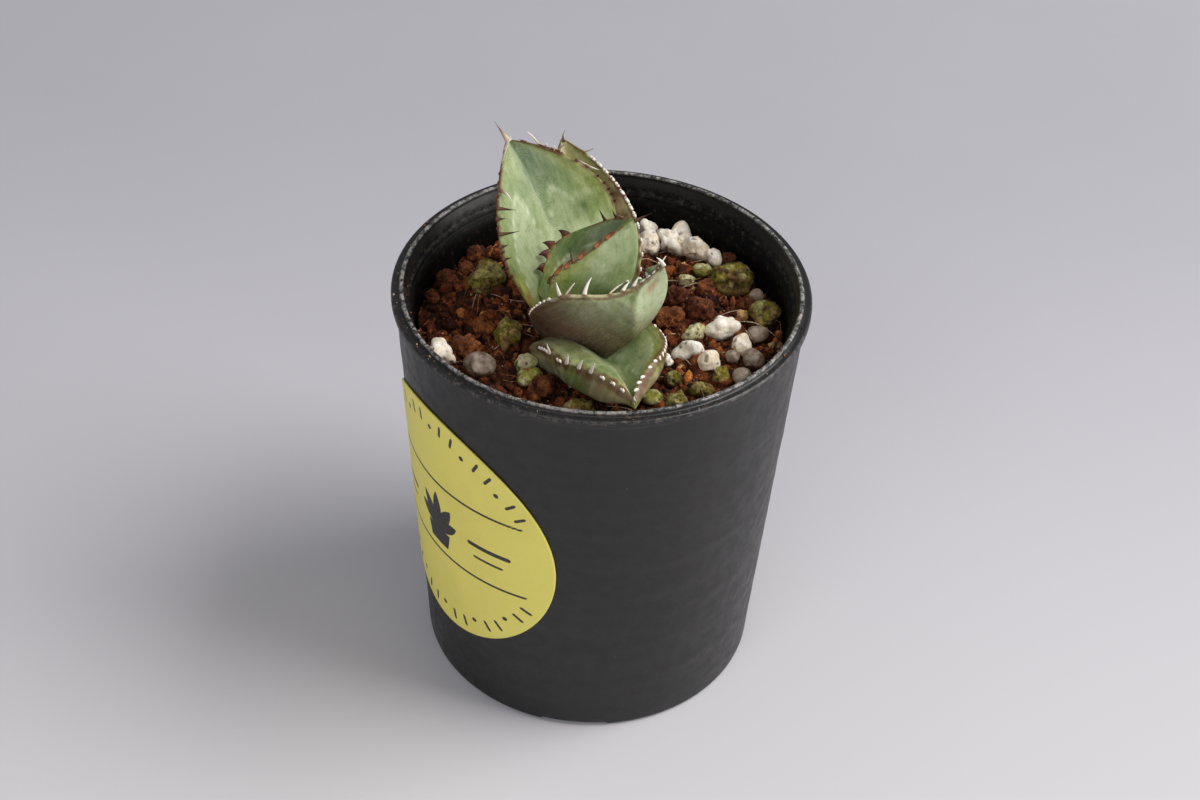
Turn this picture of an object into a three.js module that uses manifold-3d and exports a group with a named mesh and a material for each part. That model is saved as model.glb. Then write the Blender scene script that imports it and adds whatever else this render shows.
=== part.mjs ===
// Potted agave seedling: plastic nursery pot, round label, soil, stem with its root, five leaves
// and the loose grains of the top dressing.
// Millimetres, +Z up. The pot stands on z = 0 with its axis on the Z axis, and its front is -Y.
// Headings are degrees from +X towards +Y.
import * as THREE from 'three';
import { mergeVertices } from 'three/addons/utils/BufferGeometryUtils.js';
import { ParametricGeometry } from 'three/addons/geometries/ParametricGeometry.js';
import Module from 'manifold-3d';

const wasm = await Module();
wasm.setup();

// ---- driving dimensions ----------------------------------------------------------------------

const GAP = 0.3;                    // clearance between neighbouring solids
const ROUND = 48;                   // facets around the pot

const POT = {
  height: 82,                       // to the top of the inner ridge
  lipRadius: 37.5,
  lipHeight: 1.5,                   // height of the outer face of the lip
  lipDrop: 0.75,                    // how far the lip lies below the ridge
  ridgeRadius: 35.2,
  ridgeWidth: 0.9,
  wallTopRadius: 36.75,
  wallBottomRadius: 32,
  bottomFillet: 1.2,
  ledges: [                         // fine steps inside the rim: radius above, height
    { radius: 34.7, z: 78.5 },
    { radius: 34.2, z: 77.4 },
  ],
  innerTopRadius: 33.8,
  innerBottomRadius: 31,
  floorTop: 3,
  footHeight: 1.5,
  footInnerRadius: 28.2,
};
const NOTCH = { count: 4, heading: 267, width: 12.5, height: 1.2 };
const DRAIN = { count: 4, heading: 222, ring: 19, radius: 2.5 };

const LABEL = { diameter: 52.7, heading: 216.5, z: 42.5, clearance: 0.15, thickness: 0.25 };

const SOIL_TOP = 72;
const STEM = { x: -2.5, y: -2, top: 75, shoulder: 70, radius: 4.2, rootDepth: 34, rootRadius: 1.2 };

const EDGE = 0.35;                  // thickness of a leaf's horny margin
const SECTION = 14;                 // points around a leaf's cross-section
const STATIONS = 12;                // steps along a leaf

// A leaf's midrib starts at root and runs for length with the given headings, climbs and rolls at
// its root, middle and tip. Each half is a blade folded up from the midrib by fold (at the root,
// the middle and the tip) and bending further by curl towards the margin, all in degrees.
// innerShare is how much of the thickness lies on the inner side of the midrib curve, and pillow
// and belly are how far a half's inner and outer faces bulge.
const LEAVES = {
  leaf_centre: {
    root: [-0.6, -2.7, 73.3], heading: [11, 11, 8], climb: [47, 76, 106], roll: [0, -4, -10],
    length: 25.5, neck: 0.89, widest: 0.40, taper: 0.65, thickness: 1.8, innerShare: 1,
    left: { width: 15.5, fold: [69, 58, 45], curl: 7, teeth: 5 },
    right: { width: 15.5, fold: [71, 66, 59], curl: 20, teeth: 5 },
    toothLength: 1.4, spineLength: 2.6,
  },
  leaf_back_left: {
    root: [-4.8, 4.0, 73], heading: [135, 151, 143], climb: [64, 66, 49], roll: [-3, -4, -11],
    length: 34, neck: 0.73, widest: 0.44, taper: 0.91, thickness: 2.8, innerShare: 0,
    left: { width: 13.5, fold: [21, 1, 7], curl: 2, teeth: 7 },
    right: { width: 13, fold: [29, 19, 30], curl: 19, teeth: 7 },
    toothLength: 1.6, spineLength: 4.4,
  },
  leaf_back_right: {
    root: [-1.7, 6.5, 72.4], heading: [96, 118, 121], climb: [49, 59, 60], roll: [3, -3, 1],
    length: 30.5, neck: 0.75, widest: 0.34, taper: 0.84, thickness: 2.4, innerShare: 0,
    left: { width: 7.5, fold: [5, 3, 6], curl: 8, teeth: 5 },
    right: { width: 10.5, fold: [20, 28, 24], curl: 19, teeth: 8 },
    toothLength: 1.0, spineLength: 2.6,
  },
  leaf_front_right: {
    root: [0.5, -10.1, 71.6], heading: [-55, 0, -3], climb: [59, 57, 118], roll: [1, -5, -5],
    length: 28.5, neck: 0.93, widest: 0.25, taper: 1.01, thickness: 2.4, innerShare: 1,
    left: { width: 11, fold: [34, 31, 36], curl: 15, teeth: 3 },
    right: { width: 17, fold: [43, 64, 73], curl: 30, teeth: 9 },
    toothLength: 1.6, spineLength: 1.8,
  },
  leaf_front_low: {
    root: [-1.2, -7.8, 72.1], heading: [-54, -71, -82], climb: [32, 9, 33], roll: [-1, -3, 3],
    length: 23.5, neck: 0.99, widest: 0.37, taper: 0.85, thickness: 3.4, innerShare: 0,
    left: { width: 10, fold: [30, 24, 62], curl: 21, teeth: 6, pillow: 1.0, belly: 1.2 },
    right: { width: 11, fold: [27, 24, 55], curl: -7, teeth: 7, pillow: 2.2, belly: 3.0 },
    toothLength: 1.2, spineLength: 1.6,
  },
};

// The loose grains that lie on the soil: centre x and y, length, width, height and turn in degrees.
const GRAINS = {
  pumice: [
    [8, 30, 3.6, 3, 3.4, 20], [8.5, 25, 4, 3.6, 3.6, 60], [12.5, 27, 6, 4.4, 5.4, 75],
    [17, 24.5, 4.4, 3.4, 4.6, 40], [20.5, 23, 3, 2.8, 2.8, 0], [16.5, -6.5, 6, 2.6, 2.8, -15],
    [19.5, -9, 4, 2.2, 2.6, 50], [22.5, 0.5, 4.6, 3.4, 3.4, 10], [25.5, -3.5, 4.2, 2.6, 3, 80],
    [12, -9.5, 2.4, 2.2, 2.2, 0], [-28, -10.5, 5, 3.8, 3.2, -50],
  ],
  akadama: [
    [23.5, 22, 3.2, 2.6, 2.8, 10], [19, 12.5, 3.8, 3, 3, 30], [13.5, 9.5, 4.8, 4, 3.8, 20],
    [18, 6, 5, 4.4, 4, -20], [12.5, 2.5, 6.2, 4.4, 3.6, 15], [-31, 6, 3, 2.8, 2.8, 0],
    [-23.5, -8.5, 5.6, 4, 4, 20], [-21.5, -2, 4.4, 3.4, 3.2, 10], [-24.5, 20, 3.4, 2.8, 2.8, 40],
    [-20, 20.5, 3, 2.6, 2.6, 0], [-25.5, 15.5, 3.2, 2.8, 2.8, 30], [-29, 11, 4.2, 3.6, 3.4, 70],
    [-9.5, -19, 5.2, 4.2, 4.4, 30], [-14.5, 25.5, 4, 3.2, 3, 15], [27, 8, 3.6, 3, 2.8, 0],
    [5, 21, 4.4, 3.6, 3.2, 25],
  ],
  zeolite: [
    [19, 18, 3, 2.6, 2.6, 20], [15.5, 14.8, 3.2, 2.8, 2.8, 0], [17, -1, 4.8, 3.6, 3.2, 30],
    [9.5, -20, 2.8, 2.2, 2.2, 0], [-13, -12, 3.8, 3.4, 3.2, 10], [-12.3, -16.2, 3.6, 3, 2.8, 0],
  ],
  river_stone: [
    [28.5, -0.5, 4.2, 2.8, 2.6, 10], [27.5, -8, 4.4, 3.6, 3.2, -10], [23.8, -7.4, 2.6, 2.2, 2.2, 0],
    [25.2, -13, 3.8, 3, 2.8, 20], [-21, -13, 6, 4.4, 3.8, -10], [28.5, 11, 2.6, 2.4, 2.4, 0],
  ],
  mossy_stone: [
    [24.5, 15.5, 7.8, 6.4, 5.4, 25], [30, 5, 5.8, 5, 4.6, 60], [21.5, -13, 3.2, 2.6, 2.6, 0],
    [18, -17, 5.4, 2.6, 2.8, -20], [14, -20.2, 4.4, 2.8, 2.8, 15], [-16.5, -4.5, 6.2, 5.6, 5, 80],
    [-21.5, 10.5, 7.6, 6.4, 5.4, 50], [-2.5, -23.5, 6.4, 3, 2.8, -15], [13, -14.5, 3.6, 2.8, 2.6, 30],
  ],
};
const GRAIN_SINK = 0.35;            // share of a grain's height that lies below the soil's surface
const GRAIN_LUMP = 0.09;            // how far a grain departs from an ellipsoid
const GRAIN_SWELL = 1.14;           // how far its corners stand out, so that its faces lie near it
const ROOM = 0.2;                   // least clearance from a grain to the pot

// ---- materials -------------------------------------------------------------------------------

const matte = (color, roughness) => new THREE.MeshStandardMaterial({ color, roughness, metalness: 0 });
const MATERIALS = {
  pot: () => matte(0x26272a, 0.55),
  label: () => matte(0xd9cd6a, 0.6),
  soil: () => matte(0x3a2018, 0.95),
  stem: () => matte(0x8a8a5c, 0.7),
  leaf: () => matte(0x6f8460, 0.5),
  pumice: () => matte(0xd8d0c2, 0.9),
  akadama: () => matte(0x7a4328, 0.95),
  zeolite: () => matte(0x8d9a78, 0.85),
  river_stone: () => matte(0x9a958a, 0.8),
  mossy_stone: () => matte(0x6a6a34, 0.95),
};

// ---- solids ----------------------------------------------------------------------------------

const radians = THREE.MathUtils.degToRad;

function signedVolume(positions, triangles) {
  const a = new THREE.Vector3();
  const b = new THREE.Vector3();
  const c = new THREE.Vector3();
  let volume = 0;
  for (const [i, j, k] of triangles) {
    a.fromBufferAttribute(positions, i);
    b.fromBufferAttribute(positions, j);
    c.fromBufferAttribute(positions, k);
    volume += a.dot(b.cross(c)) / 6;
  }
  return volume;
}

// A closed geometry as a solid, with its shared points merged and its faces turned outwards.
function toSolid(geometry) {
  const bare = geometry.clone();
  bare.deleteAttribute('normal');
  bare.deleteAttribute('uv');
  const merged = mergeVertices(bare, 1e-4);
  const index = merged.index.array;
  const triangles = [];
  for (let i = 0; i < index.length; i += 3) {
    const corners = [index[i], index[i + 1], index[i + 2]];
    if (new Set(corners).size === 3) triangles.push(corners);
  }
  if (signedVolume(merged.attributes.position, triangles) < 0) {
    triangles.forEach((corners) => corners.reverse());
  }
  return new wasm.Manifold(new wasm.Mesh({
    numProp: 3,
    vertProperties: Float32Array.from(merged.attributes.position.array),
    triVerts: Uint32Array.from(triangles.flat()),
  }));
}

// The largest body of a solid, without the slivers that a cut can leave.
function largestBody(solid) {
  const bodies = solid.decompose();
  bodies.sort((a, b) => b.volume() - a.volume());
  return bodies[0];
}

function toMesh(solid, name, material) {
  const { vertProperties, triVerts } = solid.getMesh();
  const geometry = new THREE.BufferGeometry();
  geometry.setAttribute('position', new THREE.BufferAttribute(vertProperties, 3));
  geometry.setIndex(new THREE.BufferAttribute(triVerts, 1));
  geometry.computeVertexNormals();
  const mesh = new THREE.Mesh(geometry, material);
  mesh.name = name;
  return mesh;
}

// A solid of revolution about the Z axis from a closed outline of [radius, height] points.
function revolved(outline) {
  const points = [...outline, outline[0]].map(([r, z]) => new THREE.Vector2(r, z));
  return toSolid(new THREE.LatheGeometry(points, ROUND).rotateX(Math.PI / 2));
}

function around(radius, heading, z) {
  const angle = radians(heading);
  return new THREE.Vector3(radius * Math.cos(angle), radius * Math.sin(angle), z);
}

// Claimed room: every piece is cut clear of what earlier pieces claimed, and then claims its own.
const claimed = [];

function boxesMeet(a, b) {
  return [0, 1, 2].every((axis) => a.min[axis] < b.max[axis] && b.min[axis] < a.max[axis]);
}

function cutClear(solid) {
  const box = solid.boundingBox();
  let cut = solid;
  for (const room of claimed) {
    if (boxesMeet(box, room.box)) cut = cut.subtract(room.solid);
  }
  return largestBody(cut);
}

function claim(solid) {
  claimed.push({ solid, box: solid.boundingBox() });
}

// ---- pot and label ---------------------------------------------------------------------------

function wallRadius(z) {
  const top = POT.height - POT.lipDrop - POT.lipHeight;
  const share = (z - POT.bottomFillet) / (top - POT.bottomFillet);
  return THREE.MathUtils.lerp(POT.wallBottomRadius, POT.wallTopRadius, share);
}

function innerRadius(z) {
  const top = POT.ledges[1].z;
  const share = (z - POT.floorTop) / (top - POT.floorTop);
  return THREE.MathUtils.lerp(POT.innerBottomRadius, POT.innerTopRadius, share);
}

function potOutline() {
  const crest = POT.height - POT.lipDrop;
  const [upper, lower] = POT.ledges;
  return [
    [0, POT.footHeight],
    [POT.footInnerRadius, POT.footHeight],
    [POT.footInnerRadius + 0.4, 0],
    [POT.wallBottomRadius - POT.bottomFillet, 0],
    [POT.wallBottomRadius - 0.35 * POT.bottomFillet, 0.3 * POT.bottomFillet],
    [POT.wallBottomRadius, POT.bottomFillet],
    [POT.wallTopRadius, crest - POT.lipHeight],
    [POT.lipRadius, crest - POT.lipHeight + 0.2],
    [POT.lipRadius, crest - 0.2],
    [POT.lipRadius - 0.3, crest],
    [POT.ridgeRadius + POT.ridgeWidth, crest - 0.1],
    [POT.ridgeRadius + POT.ridgeWidth / 2, POT.height],
    [POT.ridgeRadius, POT.height],
    [upper.radius, POT.height - 0.7],
    [upper.radius, upper.z],
    [lower.radius, upper.z],
    [lower.radius, lower.z],
    [POT.innerTopRadius, lower.z],
    [POT.innerBottomRadius, POT.floorTop],
    [0, POT.floorTop],
  ];
}

function footNotch(heading) {
  const depth = 8;
  const notch = new THREE.BoxGeometry(depth, NOTCH.width, 2 * NOTCH.height);
  notch.rotateZ(radians(heading));
  const place = around(POT.wallBottomRadius - POT.bottomFillet, heading, 0);
  return toSolid(notch.translate(place.x, place.y, place.z));
}

function drainHole(heading, ring) {
  const hole = new THREE.CylinderGeometry(DRAIN.radius, DRAIN.radius, 4 * POT.floorTop, 12);
  const place = around(ring, heading, 0);
  return toSolid(hole.rotateX(Math.PI / 2).translate(place.x, place.y, place.z));
}

function pot() {
  let body = revolved(potOutline());
  for (let i = 0; i < NOTCH.count; i += 1) {
    body = body.subtract(footNotch(NOTCH.heading + (i * 360) / NOTCH.count));
  }
  for (let i = 0; i < DRAIN.count; i += 1) {
    body = body.subtract(drainHole(DRAIN.heading + (i * 360) / DRAIN.count, DRAIN.ring));
  }
  return body.subtract(drainHole(0, 0));
}

// A thin round sheet bent to the wall: a shell of the wall's own taper, cut by a plug whose
// outline is the flat disc's edge seen along the label's outward direction.
function label() {
  const radius = LABEL.diameter / 2;
  const inner = LABEL.clearance;
  const outer = LABEL.clearance + LABEL.thickness;
  const low = LABEL.z - radius - 1;
  const high = LABEL.z + radius + 1;
  const shell = revolved([
    [wallRadius(low) + inner, low],
    [wallRadius(low) + outer, low],
    [wallRadius(high) + outer, high],
    [wallRadius(high) + inner, high],
  ]);
  const edge = [];
  const steps = 64;
  for (let i = 0; i < steps; i += 1) {
    const angle = (2 * Math.PI * i) / steps;
    const height = radius * Math.sin(angle);
    const bend = wallRadius(LABEL.z + height);
    edge.push(new THREE.Vector2(bend * Math.sin((radius * Math.cos(angle)) / bend), height));
  }
  const plug = new THREE.ExtrudeGeometry(new THREE.Shape(edge), { depth: 60, bevelEnabled: false });
  plug.rotateX(Math.PI / 2).rotateZ(radians(LABEL.heading + 90)).translate(0, 0, LABEL.z);
  return shell.intersect(toSolid(plug));
}

// ---- stem and leaves -------------------------------------------------------------------------

function stem() {
  const outline = [
    [0, STEM.rootDepth],
    [STEM.rootRadius, STEM.rootDepth + 1],
    [STEM.radius * 0.6, STEM.shoulder - 12],
    [STEM.radius, STEM.shoulder],
    [STEM.radius, STEM.top - 1],
    [0, STEM.top],
  ];
  const points = outline.map(([r, z]) => new THREE.Vector2(r, z));
  return new THREE.LatheGeometry(points, 16).rotateX(Math.PI / 2).translate(STEM.x, STEM.y, 0);
}

// The value at t of the curve through three values at 0, 0.5 and 1.
function through([start, middle, end], t) {
  return (1 - t) * (1 - 2 * t) * start + 4 * t * (1 - t) * middle + t * (2 * t - 1) * end;
}

// The midrib's points and directions: along it, to the left half and up out of the inner face.
function midrib(leaf) {
  const stations = [];
  const point = new THREE.Vector3(...leaf.root);
  let before = null;
  for (let i = 0; i <= STATIONS; i += 1) {
    const t = i / STATIONS;
    const heading = radians(through(leaf.heading, t));
    const climb = radians(through(leaf.climb, t));
    const level = new THREE.Vector3(Math.cos(heading), Math.sin(heading), 0);
    const along = level.multiplyScalar(Math.cos(climb)).setZ(Math.sin(climb));
    const left = new THREE.Vector3(-Math.sin(heading), Math.cos(heading), 0);
    const up = along.clone().cross(left);
    const roll = radians(through(leaf.roll, t));
    left.applyAxisAngle(along, roll);
    up.applyAxisAngle(along, roll);
    if (before) {
      const step = before.clone().add(along).multiplyScalar(leaf.length / STATIONS / 2);
      point.add(step);
    }
    before = along;
    stations.push({ t, point: point.clone(), along, left, up });
  }
  return stations;
}

function widthShare(leaf, t) {
  if (t < leaf.widest) {
    return leaf.neck + (1 - leaf.neck) * Math.sin((Math.PI / 2) * (t / leaf.widest));
  }
  const past = (t - leaf.widest) / (1 - leaf.widest);
  return Math.max(Math.cos((Math.PI / 2) * past), 0) ** leaf.taper;
}

// A point on the leaf's design surface at the share s of the half width (left is positive),
// with the direction that leads on to the margin and the surface's inner direction.
function bladePoint(leaf, station, s, extraWidth) {
  const side = Math.sign(s) || 1;
  const half = side > 0 ? leaf.left : leaf.right;
  const width = half.width * widthShare(leaf, station.t) + extraWidth;
  const fold = radians(through(half.fold, station.t));
  const share = Math.abs(s);
  const steps = 6;
  const point = station.point.clone();
  for (let i = 0; i < steps; i += 1) {
    const angle = fold + radians(half.curl) * share * ((i + 0.5) / steps);
    const step = (width * share) / steps;
    point.addScaledVector(station.left, side * Math.cos(angle) * step);
    point.addScaledVector(station.up, Math.sin(angle) * step);
  }
  const lean = fold + radians(half.curl) * share;
  const outward = station.left.clone().multiplyScalar(side * Math.cos(lean));
  outward.addScaledVector(station.up, Math.sin(lean));
  const normal = station.up.clone().multiplyScalar(Math.cos(lean));
  normal.addScaledVector(station.left, -side * Math.sin(lean));
  const inward = station.up.clone().lerp(normal, share * share).normalize();
  return { point, outward, inward, lean };
}

function bladeThickness(leaf, t, s) {
  return EDGE + (leaf.thickness - EDGE) * (1 - 0.7 * t) * (1 - s * s);
}

// How far a face stands out past the blade's thickness because of its half's pillow or belly.
function bladeBulge(leaf, t, s, isInner) {
  const half = s < 0 ? leaf.right : leaf.left;
  const share = Math.abs(s);
  const fade = Math.min((half.width * widthShare(leaf, t)) / 7, 1);
  if (isInner) return (half.pillow || 0) * fade * Math.sin(Math.PI * share ** 1.2) ** 1.3;
  return -(half.belly || 0) * fade * Math.sin(Math.PI * share ** 3);
}

// The closed skin of a leaf's blade, grown outwards by the given clearance.
function blade(leaf, grow) {
  const stations = midrib(leaf);
  const half = SECTION / 2;
  const lastRing = STATIONS;
  const skin = (u, v, target) => {
    const ring = Math.round(v * (lastRing + 1));
    const station = stations[Math.max(ring - 1, 0)];
    if (ring === 0 || ring === lastRing + 1) {
      const end = ring === 0 ? stations[0] : stations[lastRing];
      target.copy(end.point).addScaledVector(end.along, ring === 0 ? -grow : grow);
      return;
    }
    const corner = Math.round(u * SECTION) % SECTION;
    const isInner = corner < half;
    const s = isInner ? 1 - (2 * corner) / (half - 1) : (2 * (corner - half)) / (half - 1) - 1;
    const { point, inward, lean } = bladePoint(leaf, station, s, grow);
    const thickness = bladeThickness(leaf, station.t, s);
    const share = isInner ? leaf.innerShare : leaf.innerShare - 1;
    const reach = isInner ? 1 / Math.max(Math.cos(lean * (1 - Math.abs(s))), 0.4) : 1;
    const bulge = bladeBulge(leaf, station.t, s, isInner);
    const offset = thickness * share * reach + bulge + (isInner ? grow : -grow);
    target.copy(point).addScaledVector(inward, offset);
  };
  return toSolid(new ParametricGeometry(skin, SECTION, lastRing + 1));
}

// A thorn: a cone whose blunt end is sunk into the leaf.
function thorn(base, direction, length, radius) {
  const sunk = 0.5;
  const cone = new THREE.ConeGeometry(radius, length + sunk, 4);
  const turn = new THREE.Quaternion().setFromUnitVectors(new THREE.Vector3(0, 1, 0), direction);
  cone.translate(0, (length - sunk) / 2, 0).applyQuaternion(turn);
  return toSolid(cone.translate(base.x, base.y, base.z));
}

function marginTeeth(leaf, side) {
  const half = side > 0 ? leaf.left : leaf.right;
  const stations = midrib(leaf);
  const teeth = [];
  for (let i = 0; i < half.teeth; i += 1) {
    const station = stations[Math.round(STATIONS * (0.16 + (0.68 * i) / (half.teeth - 1)))];
    const { point, outward, inward } = bladePoint(leaf, station, side, 0);
    const middle = point.addScaledVector(inward, (leaf.innerShare - 0.5) * EDGE);
    const direction = outward.addScaledVector(station.along, 0.3).normalize();
    teeth.push(thorn(middle, direction, leaf.toothLength, 0.4));
  }
  return teeth;
}

function tipSpine(leaf) {
  const tip = midrib(leaf)[STATIONS];
  return thorn(tip.point, tip.along, leaf.spineLength, 0.55);
}

function leafSolid(leaf) {
  const thorns = [...marginTeeth(leaf, 1), ...marginTeeth(leaf, -1), tipSpine(leaf)];
  return thorns.reduce((body, part) => body.add(part), blade(leaf, 0));
}

// ---- grains and soil -------------------------------------------------------------------------

// A lumpy ellipsoid with its own bumps, which the grain's place decides.
function grain([x, y, long, wide, high, turn], grow) {
  const bumps = new THREE.Vector3(Math.sin(7 * x), Math.sin(5 * y), Math.sin(3 * (x + y)));
  const geometry = new THREE.DodecahedronGeometry(1, 0);
  const points = geometry.attributes.position;
  const direction = new THREE.Vector3();
  for (let i = 0; i < points.count; i += 1) {
    direction.fromBufferAttribute(points, i);
    const wave = Math.sin(4 * direction.dot(bumps) + x) * Math.cos(3 * direction.z + y);
    direction.multiplyScalar(GRAIN_SWELL - GRAIN_LUMP * (1 + wave));
    points.setXYZ(i, direction.x, direction.y, direction.z);
  }
  geometry.scale(long / 2 + grow, wide / 2 + grow, high / 2 + grow).rotateZ(radians(turn));
  return toSolid(geometry.translate(x, y, SOIL_TOP + high * (0.5 - GRAIN_SINK)));
}

// The inside of the pot, shrunk by a clearance, from just above its floor up to a height.
function potInside(top, clearance) {
  const bottom = POT.floorTop + clearance;
  return revolved([
    [0, bottom],
    [innerRadius(bottom) - clearance, bottom],
    [innerRadius(top) - clearance, top],
    [0, top],
  ]);
}

// ---- assembly --------------------------------------------------------------------------------

const agave = new THREE.Group();

agave.add(toMesh(pot(), 'pot', MATERIALS.pot()));
agave.add(toMesh(label(), 'label', MATERIALS.label()));

for (const [name, leaf] of Object.entries(LEAVES)) {
  agave.add(toMesh(cutClear(leafSolid(leaf)), name, MATERIALS.leaf()));
  claim(blade(leaf, GAP));
}

const stemSolid = toSolid(stem());
agave.add(toMesh(cutClear(stemSolid), 'stem', MATERIALS.stem()));

const grainRoom = potInside(SOIL_TOP + 8, ROOM);
for (const [kind, places] of Object.entries(GRAINS)) {
  places.forEach((place, i) => {
    const name = `${kind}_${String(i + 1).padStart(2, '0')}`;
    const solid = cutClear(grain(place, 0).intersect(grainRoom));
    agave.add(toMesh(solid, name, MATERIALS[kind]()));
    claim(grain(place, GAP));
  });
}

claim(toSolid(stem().clone()).add(toSolid(stem().translate(0, 0, GAP))));
agave.add(toMesh(cutClear(potInside(SOIL_TOP, GAP)), 'soil', MATERIALS.soil()));

export default agave;
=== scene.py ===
"""Potted agave seedling in a black plastic nursery pot with a round paper label.

Lengths in the tables below are millimetres and angles are degrees. Headings run from +X
towards +Y, and the front of the pot is -Y.
"""

import itertools
import math
from typing import NamedTuple

import bmesh
import bpy
import numpy as np
from mathutils import Euler, Matrix, Vector
from mathutils.bvhtree import BVHTree


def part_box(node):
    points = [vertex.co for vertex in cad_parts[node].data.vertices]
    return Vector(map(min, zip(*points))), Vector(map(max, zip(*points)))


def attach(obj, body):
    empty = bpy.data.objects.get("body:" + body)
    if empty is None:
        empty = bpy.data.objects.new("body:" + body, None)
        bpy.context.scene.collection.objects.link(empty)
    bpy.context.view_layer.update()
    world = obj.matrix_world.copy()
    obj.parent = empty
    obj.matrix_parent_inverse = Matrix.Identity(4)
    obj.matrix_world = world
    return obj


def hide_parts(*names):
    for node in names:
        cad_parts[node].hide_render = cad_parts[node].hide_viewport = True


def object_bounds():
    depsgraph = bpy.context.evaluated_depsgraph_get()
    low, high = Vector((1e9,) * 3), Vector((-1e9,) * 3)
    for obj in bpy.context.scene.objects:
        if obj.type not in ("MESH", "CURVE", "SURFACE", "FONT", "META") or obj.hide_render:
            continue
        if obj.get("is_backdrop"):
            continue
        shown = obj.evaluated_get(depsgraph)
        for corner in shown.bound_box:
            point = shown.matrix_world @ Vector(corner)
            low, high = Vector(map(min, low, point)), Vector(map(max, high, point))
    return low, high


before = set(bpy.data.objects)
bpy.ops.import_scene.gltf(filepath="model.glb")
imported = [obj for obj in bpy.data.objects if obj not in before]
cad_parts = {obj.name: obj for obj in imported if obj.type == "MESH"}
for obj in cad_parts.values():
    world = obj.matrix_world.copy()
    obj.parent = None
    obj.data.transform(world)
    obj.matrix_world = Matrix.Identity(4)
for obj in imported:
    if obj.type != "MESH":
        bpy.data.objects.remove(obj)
cad_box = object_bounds()

MM = 0.001
rng = np.random.default_rng(20)

# ---- driving dimensions ------------------------------------------------------------------


def cad_limits(node):
    """The lowest and highest corner of a CAD node's box, in millimetres."""
    return (np.array(corner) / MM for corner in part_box(node))


POT_LOW, POT_HIGH = cad_limits("pot")
SOIL_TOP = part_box("soil")[1].z / MM
POT_HEIGHT = POT_HIGH[2]
LIP_RADIUS = (POT_HIGH[0] - POT_LOW[0]) / 2
LIP_HEIGHT = 1.5
LIP_DROP = 0.75
RIDGE_RADIUS = LIP_RADIUS - 2.3
RIDGE_WIDTH = 0.9
WALL_TOP_RADIUS = LIP_RADIUS - 0.75
WALL_BOTTOM_RADIUS = LIP_RADIUS - 5.5
BOTTOM_FILLET = 1.2
UPPER_LEDGE = (LIP_RADIUS - 2.8, POT_HEIGHT - 3.5)
LOWER_LEDGE = (LIP_RADIUS - 3.3, POT_HEIGHT - 4.6)
INNER_TOP_RADIUS = LIP_RADIUS - 3.7
INNER_BOTTOM_RADIUS = WALL_BOTTOM_RADIUS - 1
FLOOR_TOP = 3
FOOT_HEIGHT = 1.5
FOOT_INNER_RADIUS = WALL_BOTTOM_RADIUS - 3.8
NOTCH = {"count": 4, "heading": 267, "width": 12.5, "height": 1.2}
DRAIN = {"count": 4, "heading": 222, "ring": 19, "radius": 2.5}
POT_SEGMENTS = 320

LABEL_CLEARANCE = 0.15
LABEL_THICKNESS = 0.2
LABEL_RINGS, LABEL_SPOKES = 80, 288

BURIED = -0.14                      # where a leaf starts below its root, as a share of its length
LEAF_STATIONS = 150                 # steps along a leaf
LAST_STATION = 0.998                # where the last of them lies, inside the terminal spine
LEAF_SECTION = 56                   # steps across each of its two faces
MIDRIB_STEPS = 600                  # steps in which a midrib's course is added up
FOLD_STEPS = 16                     # steps in which a blade's curl is added up
STREAK_STRETCH = 7                  # how many times longer than wide the flesh's streaks are
MOUND_LENGTH, MOUND_HEIGHT = 0.9, 0.28      # the swelling of the margin under a tooth
TOOTH_SIDES, TOOTH_STEPS = 8, 11
TOOTH_SUNK = 0.4                    # how deep a tooth's root sits in the flesh
TOOTH_UNEVEN = 5                    # random spread of a tooth's angles, in degrees
COIL = 2.2                          # how many times further than given a blunt tooth bends

# ---- colours -----------------------------------------------------------------------------


def rgb(red, green, blue):
    """A display colour of 0 to 255 as linear light."""
    share = np.array([red, green, blue]) / 255
    return np.where(share <= 0.04045, share / 12.92, ((share + 0.055) / 1.055) ** 2.4)


SAGE = rgb(130, 146, 92)
PALE_SAGE = rgb(168, 177, 130)
BLOOM = rgb(198, 206, 172)
GRASS = rgb(92, 118, 46)
DEEP = rgb(58, 82, 26)
LIME = rgb(168, 168, 78)
BLUE_SAGE = rgb(118, 134, 108)
SHADE = rgb(84, 106, 78)
OLIVE = rgb(108, 102, 54)
PURPLE = rgb(116, 70, 56)
DUSK = rgb(64, 38, 24)
TAN = rgb(192, 166, 122)
BARK = rgb(104, 70, 44)
RUST = rgb(156, 90, 46)
BLOOD = rgb(94, 40, 24)
SOOT = rgb(38, 20, 14)
CREAM = rgb(232, 222, 204)
BONE = rgb(206, 186, 156)
IVORY = rgb(246, 240, 228)

PLASTIC = (rgb(9, 8, 8), rgb(16, 15, 15))
SCUFFED = rgb(122, 118, 116)
DUSTY = rgb(150, 144, 136)
WORN_AND_LIT = rgb(188, 184, 178)
STAINED = rgb(112, 90, 72)
PAPER = (rgb(230, 218, 104), rgb(240, 229, 120))
AGED_PAPER = rgb(218, 204, 98)
INK = rgb(44, 42, 44)
FLOOR = (rgb(170, 170, 177), rgb(175, 175, 182))
LIT_NEAR_FLOOR = rgb(206, 204, 208)

# ---- the plant's tables ------------------------------------------------------------------


class ToothKind(NamedTuple):
    """How one kind of tooth is shaped and coloured."""
    width: float                    # half width at the base, along the margin
    flat: float                     # thickness as a share of the width
    taper: float                    # how fast it narrows to its point; 0 for a blunt, coiled one
    base: np.ndarray                # colour at the base
    tip: np.ndarray                 # colour at the tip
    stain: np.ndarray = BARK        # colour that it leaves in the flesh around it


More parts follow.
